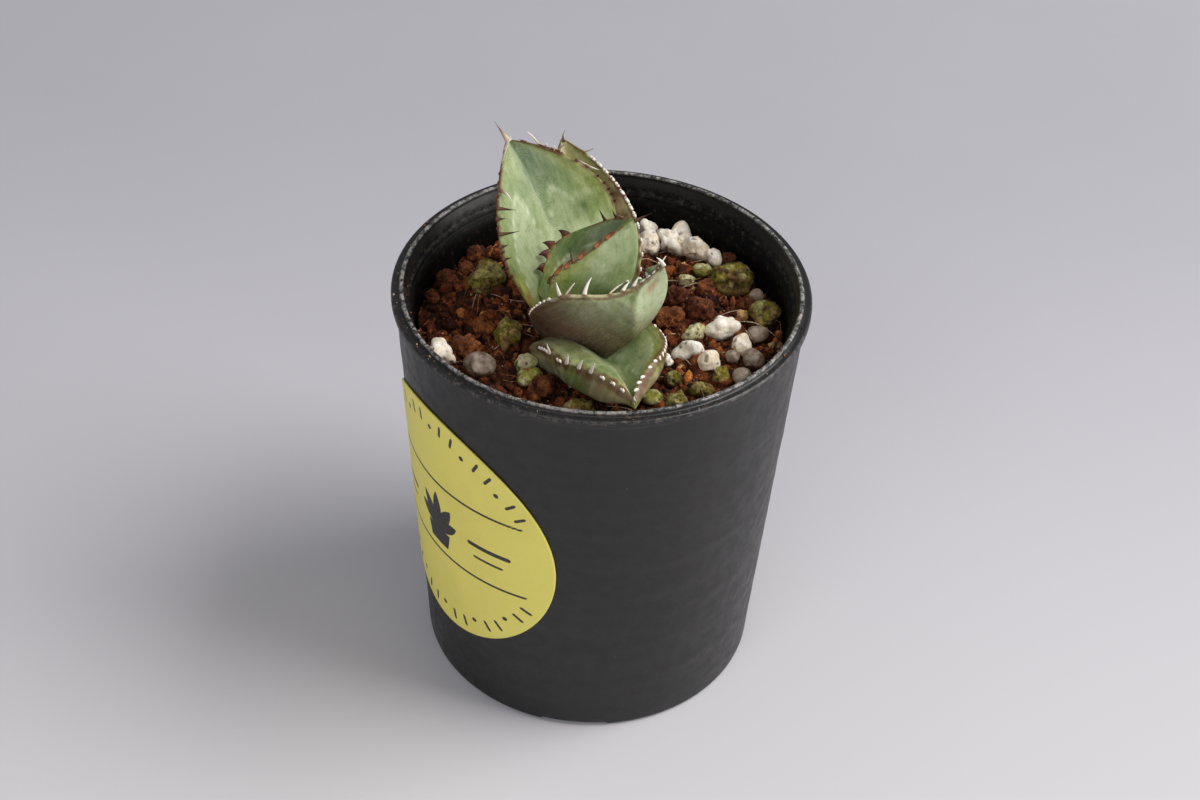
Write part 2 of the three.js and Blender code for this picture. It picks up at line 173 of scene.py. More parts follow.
TEETH = {
    "thorn": ToothKind(0.42, 0.7, 1.1, BARK, SOOT),
    "broad": ToothKind(0.95, 0.3, 1.0, BLOOD, SOOT, RUST),
    "blister": ToothKind(0.46, 0.9, 0.6, RUST, BLOOD),
    "hook": ToothKind(0.40, 0.7, 0.9, BARK, CREAM),
    "horn": ToothKind(0.42, 0.8, 0.7, CREAM, IVORY),
    "hair": ToothKind(0.19, 1.0, 0.3, BONE, CREAM),
    "stub": ToothKind(0.34, 0.7, 0.7, BARK, BLOOD),
    "bead": ToothKind(0.30, 0.8, 0, CREAM, IVORY),
    "curl": ToothKind(0.38, 0.8, 0, CREAM, IVORY),
    "spine": ToothKind(0.72, 1.0, 1.6, BONE, BARK),
}

# A leaf's midrib starts at root, measured from the middle of the soil's surface, and runs for
# length with the given headings, climbs and rolls at its root, middle and tip. Each half is a
# blade folded up from the midrib and bending further by curl towards the margin; pillow and
# belly are how far its inner and outer faces bulge.
# inner_share is how much of the flesh lies on the inner side of the midrib curve, and fold_shade
# how strongly the inner face is painted with shade just right of the midrib and with a thin painted
# highlight just left of it. border_depth is how far under the edge the dark border runs
# on the outer face, and gaps how much of the border is missing.
# Teeth: side, kind, places along the margin, length, lean towards the tip, tilt out of the
# blade to its inner side, and bend towards the tip. tip: kind, length, and how far the terminal
# spine leans and bends to the inner side.
# Patches: face (1 inner, -1 outer), middle and spread along and across, colour, strength.
LEAVES = {
    "leaf_centre": {
        "root": (-0.6, -2.7, 1.3), "heading": (11, 11, 8), "climb": (47, 76, 106),
        "roll": (0, -4, -10), "length": 25.5, "neck": 0.89, "widest": 0.40, "taper": 0.65,
        "thickness": 1.8, "edge": 0.55, "inner_share": 1,
        "left": {"width": 15.5, "fold": (69, 58, 45), "curl": 7},
        "right": {"width": 15.5, "fold": (71, 66, 59), "curl": 20},
        "inner": GRASS, "outer": SAGE,
        "border": BARK, "border_width": 0.3, "gaps": 0.25,
        "teeth": [
            ("left", "broad", (0.14, 0.32, 0.44, 0.61), 1.7, 10, 25, -40),
            ("left", "thorn", (0.885, 0.945), 2.8, 20, 30, 10),
            ("left", "thorn", (0.97,), 2.4, -20, 40, 60),
            ("right", "blister", (0.555, 0.66, 0.77, 0.87, 0.925), 1.9, 80, 8, 4),
            ("right", "stub", (0.36, 0.40, 0.47), 1.1, 78, 0, 0),
            ("right", "thorn", (0.73,), 2.6, 10, 15, 0),
        ],
        "tip": ("thorn", 3.4, -55, -10),
        "patches": [
            # The darker green is partly the leaf's own colour and partly painted shade in its narrow
            # channel; the bluish patch near the tip is a painted reflection of the sky.
            (1, 0.45, 0.0, 0.40, 1.1, DEEP, 1.0), (1, 0.90, 0.5, 0.20, 0.5, BLUE_SAGE, 0.9),
            (1, 0.20, 0.3, 0.2, 0.8, LIME, 0.7), (1, 0.6, -0.9, 0.4, 0.15, LIME, 0.5),
            (-1, 0.05, -0.5, 0.2, 0.8, LIME, 0.6), (-1, 0.75, -0.2, 0.3, 0.6, BLOOM, 0.40),
            (-1, 0.5, -0.9, 0.3, 0.2, LIME, 0.5), (-1, 0.35, -0.4, 0.2, 0.4, GRASS, 0.6),
            (-1, 0.6, 0.1, 0.3, 0.3, GRASS, 0.4),
        ],
    },
    "leaf_back_left": {
        "root": (-4.8, 4.0, 1.0), "heading": (135, 151, 143), "climb": (64, 66, 49),
        "roll": (-3, -4, -11), "length": 34, "neck": 0.73, "widest": 0.44, "taper": 0.91,
        "thickness": 2.8, "edge": 0.6, "inner_share": 0,
        "fold_shade": 0.85,
        "left": {"width": 13.5, "fold": (21, 1, 7), "curl": 2},
        "right": {"width": 13, "fold": (29, 19, 30), "curl": 19},
        "inner": rgb(120, 138, 82), "outer": PALE_SAGE,
        "border": BARK, "border_width": 0.3, "gaps": 0.2,
        "teeth": [
            ("left", "thorn", (0.635, 0.745), 3.9, 10, 125, 10),
            ("left", "thorn", (0.51, 0.575, 0.70), 1.7, 15, 115, 20),
            ("left", "hook", (0.82,), 3.6, 20, 125, -45),
            ("left", "stub", (0.41, 0.46, 0.545, 0.66, 0.79, 0.845, 0.88), 0.9, 20, 70, 20),
            ("left", "hair", (0.915,), 5.0, 62, 50, 12),
            ("left", "hair", (0.965,), 2.6, 60, 60, 0),
            ("right", "hair", (0.90,), 4.4, 40, 20, 25),
            ("right", "hair", (0.815, 0.84, 0.87), 1.3, 10, 30, 20),
            ("right", "stub", (0.81, 0.825, 0.845, 0.865, 0.885, 0.95), 1.1, 60, 30, 20),
            ("right", "stub", (0.45, 0.49, 0.52, 0.56, 0.61), 1.1, 30, 60, 20),
            ("right", "hook", (0.74,), 3.4, -55, 75, -40),
            ("right", "hook", (0.69,), 2.6, -65, 30, -20),
        ],
        "tip": ("spine", 4.4, 0, 6),
        "patches": [
            (1, 0.80, 0.5, 0.25, 0.6, SAGE, 0.6), (1, 0.60, 0.45, 0.12, 0.35, BLOOM, 0.30),
            # The pale patch at t 0.32, s 0.35 is painted light on the lower inner face, where the centre
            # leaf shades it.
            (1, 0.32, 0.35, 0.18, 0.25, BLOOM, 0.45), (1, 0.38, 0.92, 0.16, 0.16, GRASS, 0.95),
            (1, 0.08, 0.6, 0.16, 0.6, LIME, 0.9), (1, 0.62, -0.22, 0.07, 0.12, GRASS, 0.7),
            # The SHADE patch at t 0.85, s -0.3 is painted shade on the right half beside the fold near
            # the tip.
            (1, 0.60, -0.62, 0.06, 0.14, GRASS, 0.6), (1, 0.85, -0.3, 0.20, 0.5, SHADE, 0.85),
            (1, 0.30, -0.3, 0.25, 0.4, PALE_SAGE, 0.5), (1, 0.70, -0.85, 0.3, 0.2, LIME, 0.4),
            (1, 0.45, -0.15, 0.25, 0.12, GRASS, 0.5),
            (1, 0.50, -0.6, 0.05, 0.2, DEEP, 0.5), (1, 0.28, 0.97, 0.20, 0.10, LIME, 0.9),
            (1, 0.42, 0.95, 0.06, 0.10, DEEP, 0.8), (1, 0.24, 0.93, 0.03, 0.05, RUST, 0.9),
            (1, 0.15, 0.90, 0.03, 0.05, RUST, 0.9), (1, 0.88, 0.25, 0.08, 0.15, PALE_SAGE, 0.6),
            (-1, 0.3, 0.9, 0.4, 0.3, BARK, 0.5),
        ],
    },
    "leaf_back_right": {
        "root": (-1.7, 6.5, 0.4), "heading": (96, 118, 121), "climb": (49, 59, 60),
        "roll": (3, -3, 1), "length": 30.5, "neck": 0.75, "widest": 0.34, "taper": 0.84,
        "thickness": 2.4, "edge": 0.6, "inner_share": 0,
        "left": {"width": 7.5, "fold": (5, 3, 6), "curl": 8},
        "right": {"width": 10.5, "fold": (20, 28, 24), "curl": 19},
        "inner": PALE_SAGE, "outer": SAGE, "border": PURPLE, "border_width": 0.5,
        "teeth": [
            ("right", "curl", (0.42, 0.47, 0.515, 0.56, 0.61), 1.2, 20, 75, 60),
            ("right", "curl", (0.66, 0.70, 0.75, 0.795, 0.84), 1.1, -20, 75, 80),
            ("right", "stub", (0.60, 0.65, 0.71), 0.9, 20, 80, 20),
            ("right", "hair", (0.90,), 2.6, -45, 20, 20),
            ("right", "bead", (0.16, 0.24, 0.32, 0.40), 0.7, 20, 40, 60),
            ("left", "hair", (0.95,), 2.6, 30, 70, 0),
            ("left", "bead", (0.3, 0.45, 0.6, 0.72, 0.84), 0.7, 20, 40, 40),
        ],
        "tip": ("hook", 3.0, 0, 70),
        "patches": [
            (1, 0.75, -0.7, 0.12, 0.5, LIME, 0.5), (1, 0.50, -0.8, 0.3, 0.5, TAN, 1.0),
            (1, 0.62, -0.85, 0.03, 0.15, BARK, 0.9), (1, 0.48, -0.8, 0.03, 0.15, BARK, 0.9),
            (1, 0.95, 0.0, 0.10, 0.8, TAN, 0.7), (1, 0.85, -0.3, 0.1, 0.4, LIME, 0.5),
            (-1, 0.5, -0.6, 0.4, 0.5, OLIVE, 0.5), (-1, 0.2, 0.0, 0.3, 1.0, PURPLE, 0.5),
        ],
    },
    "leaf_front_right": {
        "root": (0.5, -10.1, -0.4), "heading": (-55, 0, -3), "climb": (59, 57, 118),
        "roll": (1, -5, -5), "length": 28.5, "neck": 0.93, "widest": 0.25, "taper": 1.01,
        "thickness": 2.4, "edge": 0.9, "inner_share": 1,
        "left": {"width": 11, "fold": (34, 31, 36), "curl": 15},
        "right": {"width": 17, "fold": (43, 64, 73), "curl": 30},
        "crease": {"side": "right", "start": (0.35, 0.08), "end": (0.80, 0.74), "angle": 52},
        "inner": BLUE_SAGE, "outer": SAGE, "border": BARK, "border_width": 0.35, "border_depth": 0.8,
        "teeth": [
            ("right", "horn", (0.34, 0.49), 2.9, 12, 5, 15),
            ("right", "hair", (0.38, 0.66), 2.8, 48, 5, 10),
            ("right", "horn", (0.75, 0.82), 1.9, 35, 10, 20),
            ("right", "bead", (0.87, 0.91, 0.94), 0.7, 40, 20, 40),
            ("right", "hair", (0.95, 0.97), 2.2, 10, 30, 50),
            ("left", "hair", (0.955, 0.975), 1.8, 50, 30, 40),
            ("right", "bead", (0.01, 0.04, 0.07, 0.10, 0.13, 0.16, 0.20, 0.24), 0.9, 0, 20, 90),
            ("left", "bead", (0.55, 0.68, 0.78, 0.84, 0.9, 0.94), 0.8, 30, 30, 40),
        ],
        "tip": ("horn", 2.0, 0, 40),
        "patches": [
            (-1, 0.38, -0.1, 0.25, 0.4, OLIVE, 0.9), (-1, 0.12, -0.6, 0.30, 0.9, PURPLE, 1.0),
            (-1, 0.16, -0.2, 0.2, 0.3, DUSK, 0.9), (-1, 0.36, -0.75, 0.16, 0.25, BLOOM, 0.30),
            (-1, 0.80, 0.2, 0.22, 0.6, BLOOM, 0.6), (-1, 0.85, -0.5, 0.05, 0.1, RUST, 0.7),
            (-1, 0.00, 0.0, 0.18, 1.5, DUSK, 0.8), (1, 0.90, 0.0, 0.2, 1.0, BLOOM, 0.4),
        ],
    },
    "leaf_front_low": {
        "root": (-1.2, -7.8, 0.1), "heading": (-54, -71, -82), "climb": (32, 9, 33),
        "roll": (-1, -3, 3), "length": 23.5, "neck": 0.99, "widest": 0.37, "taper": 0.85,
        "thickness": 3.4, "edge": 0.8, "inner_share": 0,
        "left": {"width": 10, "fold": (30, 24, 62), "curl": 21, "pillow": 1.0, "belly": 1.2},
        "right": {"width": 11, "fold": (27, 24, 55), "curl": -7, "pillow": 2.2, "belly": 3.0},
        "inner": SAGE, "outer": rgb(100, 92, 50), "border": BARK, "border_width": 0.4,
        "teeth": [
            ("right", "horn", (0.22, 0.52, 0.64, 0.73), 2.3, 10, 60, 10),
            ("right", "bead", (0.02, 0.06, 0.10, 0.14, 0.37, 0.41, 0.80, 0.87, 0.93), 0.9, 20, 60, 80),
            ("left", "bead", (0.73, 0.79, 0.87, 0.91, 0.95), 0.75, 20, 60, 30),
            ("left", "bead", (0.34, 0.39, 0.43, 0.47, 0.51, 0.55, 0.59, 0.63, 0.68), 0.8, 60, 40, 90),
            ("left", "bead", (0.06, 0.14, 0.22, 0.28), 0.7, 20, 40, 60),
        ],
        "tip": ("horn", 1.6, 0, 60),
        "patches": [
            (1, 0.30, -0.6, 0.35, 0.35, OLIVE, 0.8), (1, 0.45, 0.3, 0.2, 0.3, GRASS, 0.5),
            (1, 0.60, -0.2, 0.25, 0.35, PALE_SAGE, 0.7), (1, 0.97, 0.0, 0.08, 1.0, TAN, 0.9),
            (1, 0.50, 0.85, 0.30, 0.25, LIME, 0.5),
            (1, 0.10, 0.5, 0.3, 0.5, DEEP, 0.6), (-1, 0.90, 0.0, 0.15, 1.0, TAN, 0.7),
            (-1, 0.15, -0.5, 0.25, 0.5, PURPLE, 0.6), (1, 0.00, 0.0, 0.15, 1.0, PURPLE, 0.5),
            (1, 0.70, 0.7, 0.2, 0.3, LIME, 0.5),
        ],
    },
}

# ---- noise -------------------------------------------------------------------------------

# The last number of a noise or fractal call is its seed, so that no two patterns are alike.


def scatter(cells, seed):
    """A repeatable number from 0 to 1 for each row of three whole numbers."""
    mixed = cells @ np.array([127.1, 311.7, 74.7]) + seed * 19.19
    return np.modf(np.abs(np.sin(mixed)) * 43758.5453)[0]


def noise(points, size, seed=0):
    """Smooth noise from -1 to 1 whose bumps are about size across."""
    scaled = np.asarray(points, float) / size
    cell = np.floor(scaled)
    part = scaled - cell
    part = part * part * (3 - 2 * part)
    total = 0
    for corner in itertools.product((0, 1), repeat=3):
        weight = np.prod(np.where(corner, part, 1 - part), axis=-1)
        total = total + weight * scatter(cell + np.array(corner), seed)
    return 2 * total - 1


def fractal(points, size, octaves=3, seed=0):
    """Noise with finer and weaker noise added, from about -1 to 1."""
    layers = [noise(points, size / 2**k, seed + k) / 2**k for k in range(octaves)]
    return sum(layers) / (2 - 0.5 ** (octaves - 1))


def smooth(low, high, value):
    """0 below low, 1 above high and a soft step between; low may be the larger."""
    share = np.clip((value - low) / (high - low), 0, 1)
    return share * share * (3 - 2 * share)


def blend(a, b, share):
    """Colours a and b mixed by a share for each point."""
    share = np.asarray(share, float)[..., None]
    return a * (1 - share) + b * share


def unit(vectors):
    """Each vector at length 1."""
    return vectors / np.maximum(np.linalg.norm(vectors, axis=-1, keepdims=True), 1e-9)


# ---- meshes ------------------------------------------------------------------------------


def grid_faces(rows, columns):
    """Quads between neighbouring rows of points, each row joined from its end to its start."""
    row, column = np.meshgrid(np.arange(rows - 1), np.arange(columns), indexing="ij")
    following = (column + 1) % columns
    corners = [row * columns + column, row * columns + following]
    corners += [(row + 1) * columns + following, (row + 1) * columns + column]
    return np.stack(corners, -1).reshape(-1, 4)


def fan_faces(centre, ring):
    """Triangles from a centre point to each edge of a closed ring of points."""
    return np.stack([np.full(len(ring), centre), ring, np.roll(ring, -1)], -1)


def closed_skin(rows, first, last):
    """Rows of points joined into one skin and closed to a point before and after them."""
    count, columns = rows.shape[0] * rows.shape[1], rows.shape[1]
    ring = np.arange(columns)
    points = np.concatenate([rows.reshape(-1, 3), [first, last]])
    caps = [fan_faces(count, ring[::-1]), fan_faces(count + 1, count - columns + ring)]
    return points, [grid_faces(*rows.shape[:2]), *caps]


def new_object(name, data):
    """An object in the scene that shows the given mesh, lamp or camera."""
    thing = bpy.data.objects.new(name, data)
    bpy.context.scene.collection.objects.link(thing)
    return thing


def add_piece(name, points, faces, material, nodes=(), tint=None, extra=None):
    """A smooth mesh from points in millimetres, with a colour and other values at each point."""
    mesh = bpy.data.meshes.new(name)
    face_lists = [face for group in faces for face in group.tolist()]
    mesh.from_pydata((np.asarray(points) * MM).tolist(), [], face_lists)
    if tint is not None:
        layer = mesh.attributes.new("tint", "FLOAT_VECTOR", "POINT")
        layer.data.foreach_set("vector", np.ascontiguousarray(tint, np.float32).ravel())
    for key, values in (extra or {}).items():
        layer = mesh.attributes.new(key, "FLOAT", "POINT")
        layer.data.foreach_set("value", np.ascontiguousarray(values, np.float32).ravel())
    outward(mesh)
    mesh.materials.append(material)
    mesh.shade_smooth()
    piece = new_object(name, mesh)
    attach(piece, "root")
    if nodes:
        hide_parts(*nodes)
    return piece


def outward(mesh):
    """Turns every face of a mesh to point out of its closed body."""
    shape = bmesh.new()
    shape.from_mesh(mesh)
    bmesh.ops.recalc_face_normals(shape, faces=shape.faces)
    shape.to_mesh(mesh)
    shape.free()


def ball(level):
    """The points and triangles of a unit sphere made of even triangles."""
    shape = bmesh.new()
    bmesh.ops.create_icosphere(shape, subdivisions=level, radius=1)
    points = np.array([v.co for v in shape.verts])
    faces = np.array([[v.index for v in face.verts] for face in shape.faces])
    shape.free()
    return points, faces


class Heap:
    """Small closed bodies gathered into one mesh, each with its own colours."""

    def __init__(self):
        self.points, self.faces, self.tints, self.count = [], [], [], 0

    def add(self, points, faces, tint):
        """Adds one closed body."""
        self.points.append(points)
        self.faces += [group + self.count for group in faces]
        self.tints.append(np.broadcast_to(tint, points.shape))
        self.count += len(points)

    def piece(self, name, material):
        """The heap as one visible piece of the soil."""
        points, tints = np.concatenate(self.points), np.concatenate(self.tints)
        return add_piece(name, points, self.faces, material, tint=tints)


ANY_WAY = np.array([0.31, 0.17, 0.93])      # a direction that no path follows


def tube(path, widths, sides, flat=1.0, guide=ANY_WAY):
    """A closed tube along a path, oval where flat is below 1, with guide its wide direction."""
    along = unit(np.gradient(path, axis=0))
    wide = unit(guide - along * (along @ guide)[:, None])
    thin = np.cross(along, wide)
    turn = np.linspace(0, 2 * np.pi, sides, endpoint=False)
    ring = np.cos(turn)[:, None] * wide[:, None] + flat * np.sin(turn)[:, None] * thin[:, None]
    return closed_skin(path[:, None] + widths[:, None, None] * ring, path[0], path[-1])


# ---- materials ---------------------------------------------------------------------------


class Finish:
    """A material's nodes, with short calls for the ones that these finishes share."""

    def __init__(self, name, roughness=0.5, specular=0.5):
        self.material = bpy.data.materials.new(name)
        self.material.use_nodes = True
        self.tree = self.material.node_tree
        self.shader = self.tree.nodes["Principled BSDF"]
        self.set(Roughness=roughness, Specular_IOR_Level=specular)
        self.place = self.tree.nodes.new("ShaderNodeTexCoord").outputs["Object"]

    def set(self, **values):
        """Sets shader sockets by name, with _ for each space."""
        for name, value in values.items():
            self.put(value, self.shader.inputs[name.replace("_", " ")])

    def put(self, value, socket):
        """Links a node's output to a socket, or sets the socket's own value."""
        if isinstance(value, bpy.types.NodeSocket):
            self.tree.links.new(value, socket)
        elif np.ndim(value) == 1 and socket.type == "RGBA":
            socket.default_value = (*value, 1)
        else:
            socket.default_value = value

    def attribute(self, name, output="Fac"):
        """A value that the mesh holds at each point; a colour is its Vector output."""
        node = self.tree.nodes.new("ShaderNodeAttribute")
        node.attribute_name = name
        return node.outputs[output]

    def stretch(self, *scale):
        """The object's own coordinates, scaled along each axis."""
        node = self.tree.nodes.new("ShaderNodeMapping")
        self.put(self.place, node.inputs["Vector"])
        node.inputs["Scale"].default_value = scale
        return node.outputs["Vector"]

    def noise(self, size, detail=4, roughness=0.6, place=None):
        """Noise from 0 to 1 whose bumps are about size millimetres across."""
        node = self.tree.nodes.new("ShaderNodeTexNoise")
        self.put(place or self.place, node.inputs["Vector"])
        node.inputs["Scale"].default_value = 1 / (size * MM)
        node.inputs["Detail"].default_value = detail
        node.inputs["Roughness"].default_value = roughness
        return node.outputs["Fac"]

    def cells(self, size):
        """Distance to the nearest of many scattered points about size millimetres apart."""
        node = self.tree.nodes.new("ShaderNodeTexVoronoi")
        self.put(self.place, node.inputs["Vector"])
        node.inputs["Scale"].default_value = 1 / (size * MM)
        return node.outputs["Distance"]

    def span(self, value, low, high, to_low=0.0, to_high=1.0):
        """A value's range carried to another range, and held inside it."""
        node = self.tree.nodes.new("ShaderNodeMapRange")
        node.interpolation_type = "SMOOTHSTEP"
        for socket, number in zip(node.inputs, (value, low, high, to_low, to_high)):
            self.put(number, socket)
        return node.outputs["Result"]

    def times(self, a, b):
        """The product of two values."""
        node = self.tree.nodes.new("ShaderNodeMath")
        node.operation = "MULTIPLY"
        self.put(a, node.inputs[0])
        self.put(b, node.inputs[1])
        return node.outputs["Value"]

    def mix(self, share, a, b, way="MIX"):
        """Colours a and b mixed by a share of 0 to 1."""
        node = self.tree.nodes.new("ShaderNodeMix")
        node.data_type = "RGBA"
        node.blend_type = way
        self.put(share, node.inputs["Factor"])
        self.put(a, node.inputs["A"])
        self.put(b, node.inputs["B"])
        return node.outputs["Result"]

    def bump(self, height, depth):
        """Relief from a height of 0 to 1, depth millimetres deep, over any put there before."""
        node = self.tree.nodes.new("ShaderNodeBump")
        node.inputs["Distance"].default_value = depth * MM
        self.put(height, node.inputs["Height"])
        before = self.shader.inputs["Normal"]
        if before.is_linked:
            self.put(before.links[0].from_socket, node.inputs["Normal"])
        self.put(node.outputs["Normal"], before)

    def glow_within(self, weight, radius, depth):
        """Light that passes a little way under the surface, depth millimetres deep."""
        self.set(Subsurface_Weight=weight, Subsurface_Radius=radius, Subsurface_Scale=depth * MM)


def plastic_finish():
    """Dark moulded plastic with scuffs, dust in its grain, whitish wear on its ridge and a thin painted
    highlight line on its inner ledge.
    """
    finish = Finish("pot_plastic")
    cloud = finish.noise(9, 5)
    scuffs = finish.span(finish.noise(0.5, 3, 0.7, finish.stretch(1, 1, 0.12)), 0.66, 0.76)
    patches = finish.span(finish.noise(7, 3), 0.52, 0.66)
    scratches = finish.times(scuffs, patches)
    dust = finish.span(finish.noise(0.35, 2, 0.5), 0.68, 0.80)
    base = finish.mix(cloud, *PLASTIC)
    base = finish.mix(finish.times(scratches, 0.35), base, SCUFFED)
    base = finish.mix(finish.times(dust, 0.08), base, DUSTY)
    # Pale wear on the ridge and lip, plus a painted highlight line along the inner ledge, broken up by
    # noise.
    patchy = finish.span(finish.noise(1.1, 6, 0.85), 0.44, 0.62, 0, 0.8)
    wear_and_highlight = finish.times(finish.attribute("wear_and_highlight"), patchy)
    base = finish.mix(wear_and_highlight, base, WORN_AND_LIT)
    stain = finish.span(finish.noise(1.1, 4, 0.7), 0.56, 0.66)
    stain = finish.times(finish.attribute("soiled"), stain)
    finish.set(Base_Color=finish.mix(stain, base, STAINED))
    finish.set(Roughness=finish.span(finish.noise(2.5, 6, 0.7), 0.3, 0.7, 0.36, 0.52))
    finish.set(Specular_IOR_Level=finish.span(finish.attribute("inner"), 0, 1, 0.5, 0.08))
    finish.bump(finish.noise(0.22, 3), 0.012)
    finish.bump(scratches, 0.02)
    return finish.material


def paper_finish():
    """Matt yellow sticker paper with a charcoal print."""
    finish = Finish("label_paper", specular=0.35)
    fibre = finish.noise(0.5, 4, 0.7)
    paper = finish.mix(fibre, *PAPER)
    age = finish.span(finish.noise(14, 3), 0.45, 0.75, 0, 0.35)
    paper = finish.mix(age, paper, AGED_PAPER)
    ink = finish.span(finish.attribute("print"), -0.05, 0.05, 1, 0)
    speckle = finish.span(finish.noise(0.25, 2), 0.30, 0.42, 0.82, 1)
    finish.set(Base_Color=finish.mix(finish.times(ink, speckle), paper, INK))
    finish.set(Roughness=finish.span(ink, 0, 1, 0.52, 0.40))
    finish.bump(fibre, 0.01)
    return finish.material


def flesh_finish():
    """Waxy leaf skin: a painted tint under fine pale bloom, pores and streaks."""
    finish = Finish("leaf_flesh", specular=0.42)
    tint = finish.attribute("tint", "Vector")
    mottle = finish.span(finish.noise(1.4, 6, 0.7), 0.48, 0.66)
    skin = finish.mix(finish.times(mottle, 0.5), tint, rgb(186, 206, 160), "MULTIPLY")
    lengthwise = finish.tree.nodes.new("ShaderNodeCombineXYZ")
    finish.put(finish.attribute("across"), lengthwise.inputs["X"])
    finish.put(finish.attribute("along"), lengthwise.inputs["Y"])
    streak = finish.noise(0.5, 5, 0.65, lengthwise.outputs["Vector"])
    skin = finish.mix(finish.span(streak, 0.50, 0.70, 0, 0.4), skin, rgb(176, 196, 150), "MULTIPLY")
    skin = finish.mix(finish.span(streak, 0.50, 0.32, 0, 0.14), skin, rgb(196, 200, 158))
    grain = finish.span(finish.noise(0.16, 3, 0.7), 0.45, 0.68)
    wax = finish.times(grain, finish.attribute("bloom"))
    skin = finish.mix(wax, skin, rgb(204, 209, 178))
    pores = finish.span(finish.cells(0.42), 0.10, 0.24, 0.25, 0)
    finish.set(Base_Color=finish.mix(pores, skin, rgb(150, 160, 130), "MULTIPLY"))
    finish.set(Roughness=finish.span(finish.noise(1.2, 5), 0.3, 0.7, 0.42, 0.60))
    finish.glow_within(0.06, (0.6, 0.8, 0.3), 1.2)
    finish.bump(finish.noise(0.2, 3), 0.02)
    finish.bump(streak, 0.015)
    finish.bump(finish.noise(1.3, 4), 0.06)
    return finish.material


def horn_finish():
    """Dry horny tooth: its painted tint with fine lengthwise streaks."""
    finish = Finish("leaf_horn", roughness=0.45, specular=0.4)
    tint = finish.attribute("tint", "Vector")
    streak = finish.noise(0.18, 4, 0.7)
    finish.set(Base_Color=finish.mix(finish.span(streak, 0.5, 0.75, 0, 0.4), tint, rgb(96, 58, 38)))
    finish.set(Roughness=finish.span(streak, 0.3, 0.7, 0.35, 0.6))
    finish.bump(streak, 0.03)
    return finish.material


def earth_finish(name, fine, specks, roughness=0.9, depth=0.12, shades=(0.35, 1.5)):
    """Crumbly mineral surface: its painted tint, a grain of fine millimetres and scattered specks
    of a colour. shades are the tint's darkest and lightest shares."""
    finish = Finish(name, roughness=roughness, specular=0.3)
    tint = finish.attribute("tint", "Vector")
    grain = finish.noise(fine, 6, 0.72)
    shade = finish.span(grain, 0.30, 0.70, *shades)
    toned = finish.tree.nodes.new("ShaderNodeVectorMath")
    toned.operation = "SCALE"
    finish.put(tint, toned.inputs[0])
    finish.put(shade, toned.inputs["Scale"])
    dots = finish.span(finish.noise(fine * 0.8, 3, 0.6, finish.stretch(1.3, 1.1, 1.2)), 0.64, 0.74)
    finish.set(Base_Color=finish.mix(finish.times(dots, 0.6), toned.outputs["Vector"], specks))
    finish.bump(grain, depth)
    return finish.material


def quartz_finish():
    """Smooth cloudy river stone."""
    finish = Finish("river_stone", specular=0.5)
    tint = finish.attribute("tint", "Vector")
    cloud = finish.span(finish.noise(1.6, 5, 0.6), 0.35, 0.7)
    body = finish.mix(finish.times(cloud, 0.5), tint, rgb(204, 192, 174))
    grit = finish.span(finish.noise(0.5, 4, 0.7), 0.62, 0.70)
    finish.set(Base_Color=finish.mix(finish.times(grit, 0.75), body, rgb(96, 56, 36)))
    finish.set(Roughness=finish.span(finish.noise(0.7, 4), 0.3, 0.7, 0.28, 0.55))
    finish.glow_within(0.25, (1, 0.9, 0.8), 1.5)
    finish.bump(finish.noise(0.6, 5), 0.05)
    return finish.material


# ---- pot ---------------------------------------------------------------------------------


def line_through(low, high, count):
    """Evenly spaced points on the straight line between two, without the last."""
    return [tuple(point) for point in np.linspace(low, high, count, endpoint=False)]


def bend_round(centre, radius, start, end, count=6):
    """Points on an arc, by its centre, radius and the angles where it starts and ends."""
    turn = np.radians(np.linspace(start, end, count))
    return [(centre[0] + radius * math.cos(a), centre[1] + radius * math.sin(a)) for a in turn]


def wall_radius(z):
    """Outer radius of the pot's wall at a height."""
    crest = POT_HEIGHT - LIP_DROP - LIP_HEIGHT
    share = (z - BOTTOM_FILLET) / (crest - BOTTOM_FILLET)
    return WALL_BOTTOM_RADIUS + (WALL_TOP_RADIUS - WALL_BOTTOM_RADIUS) * share


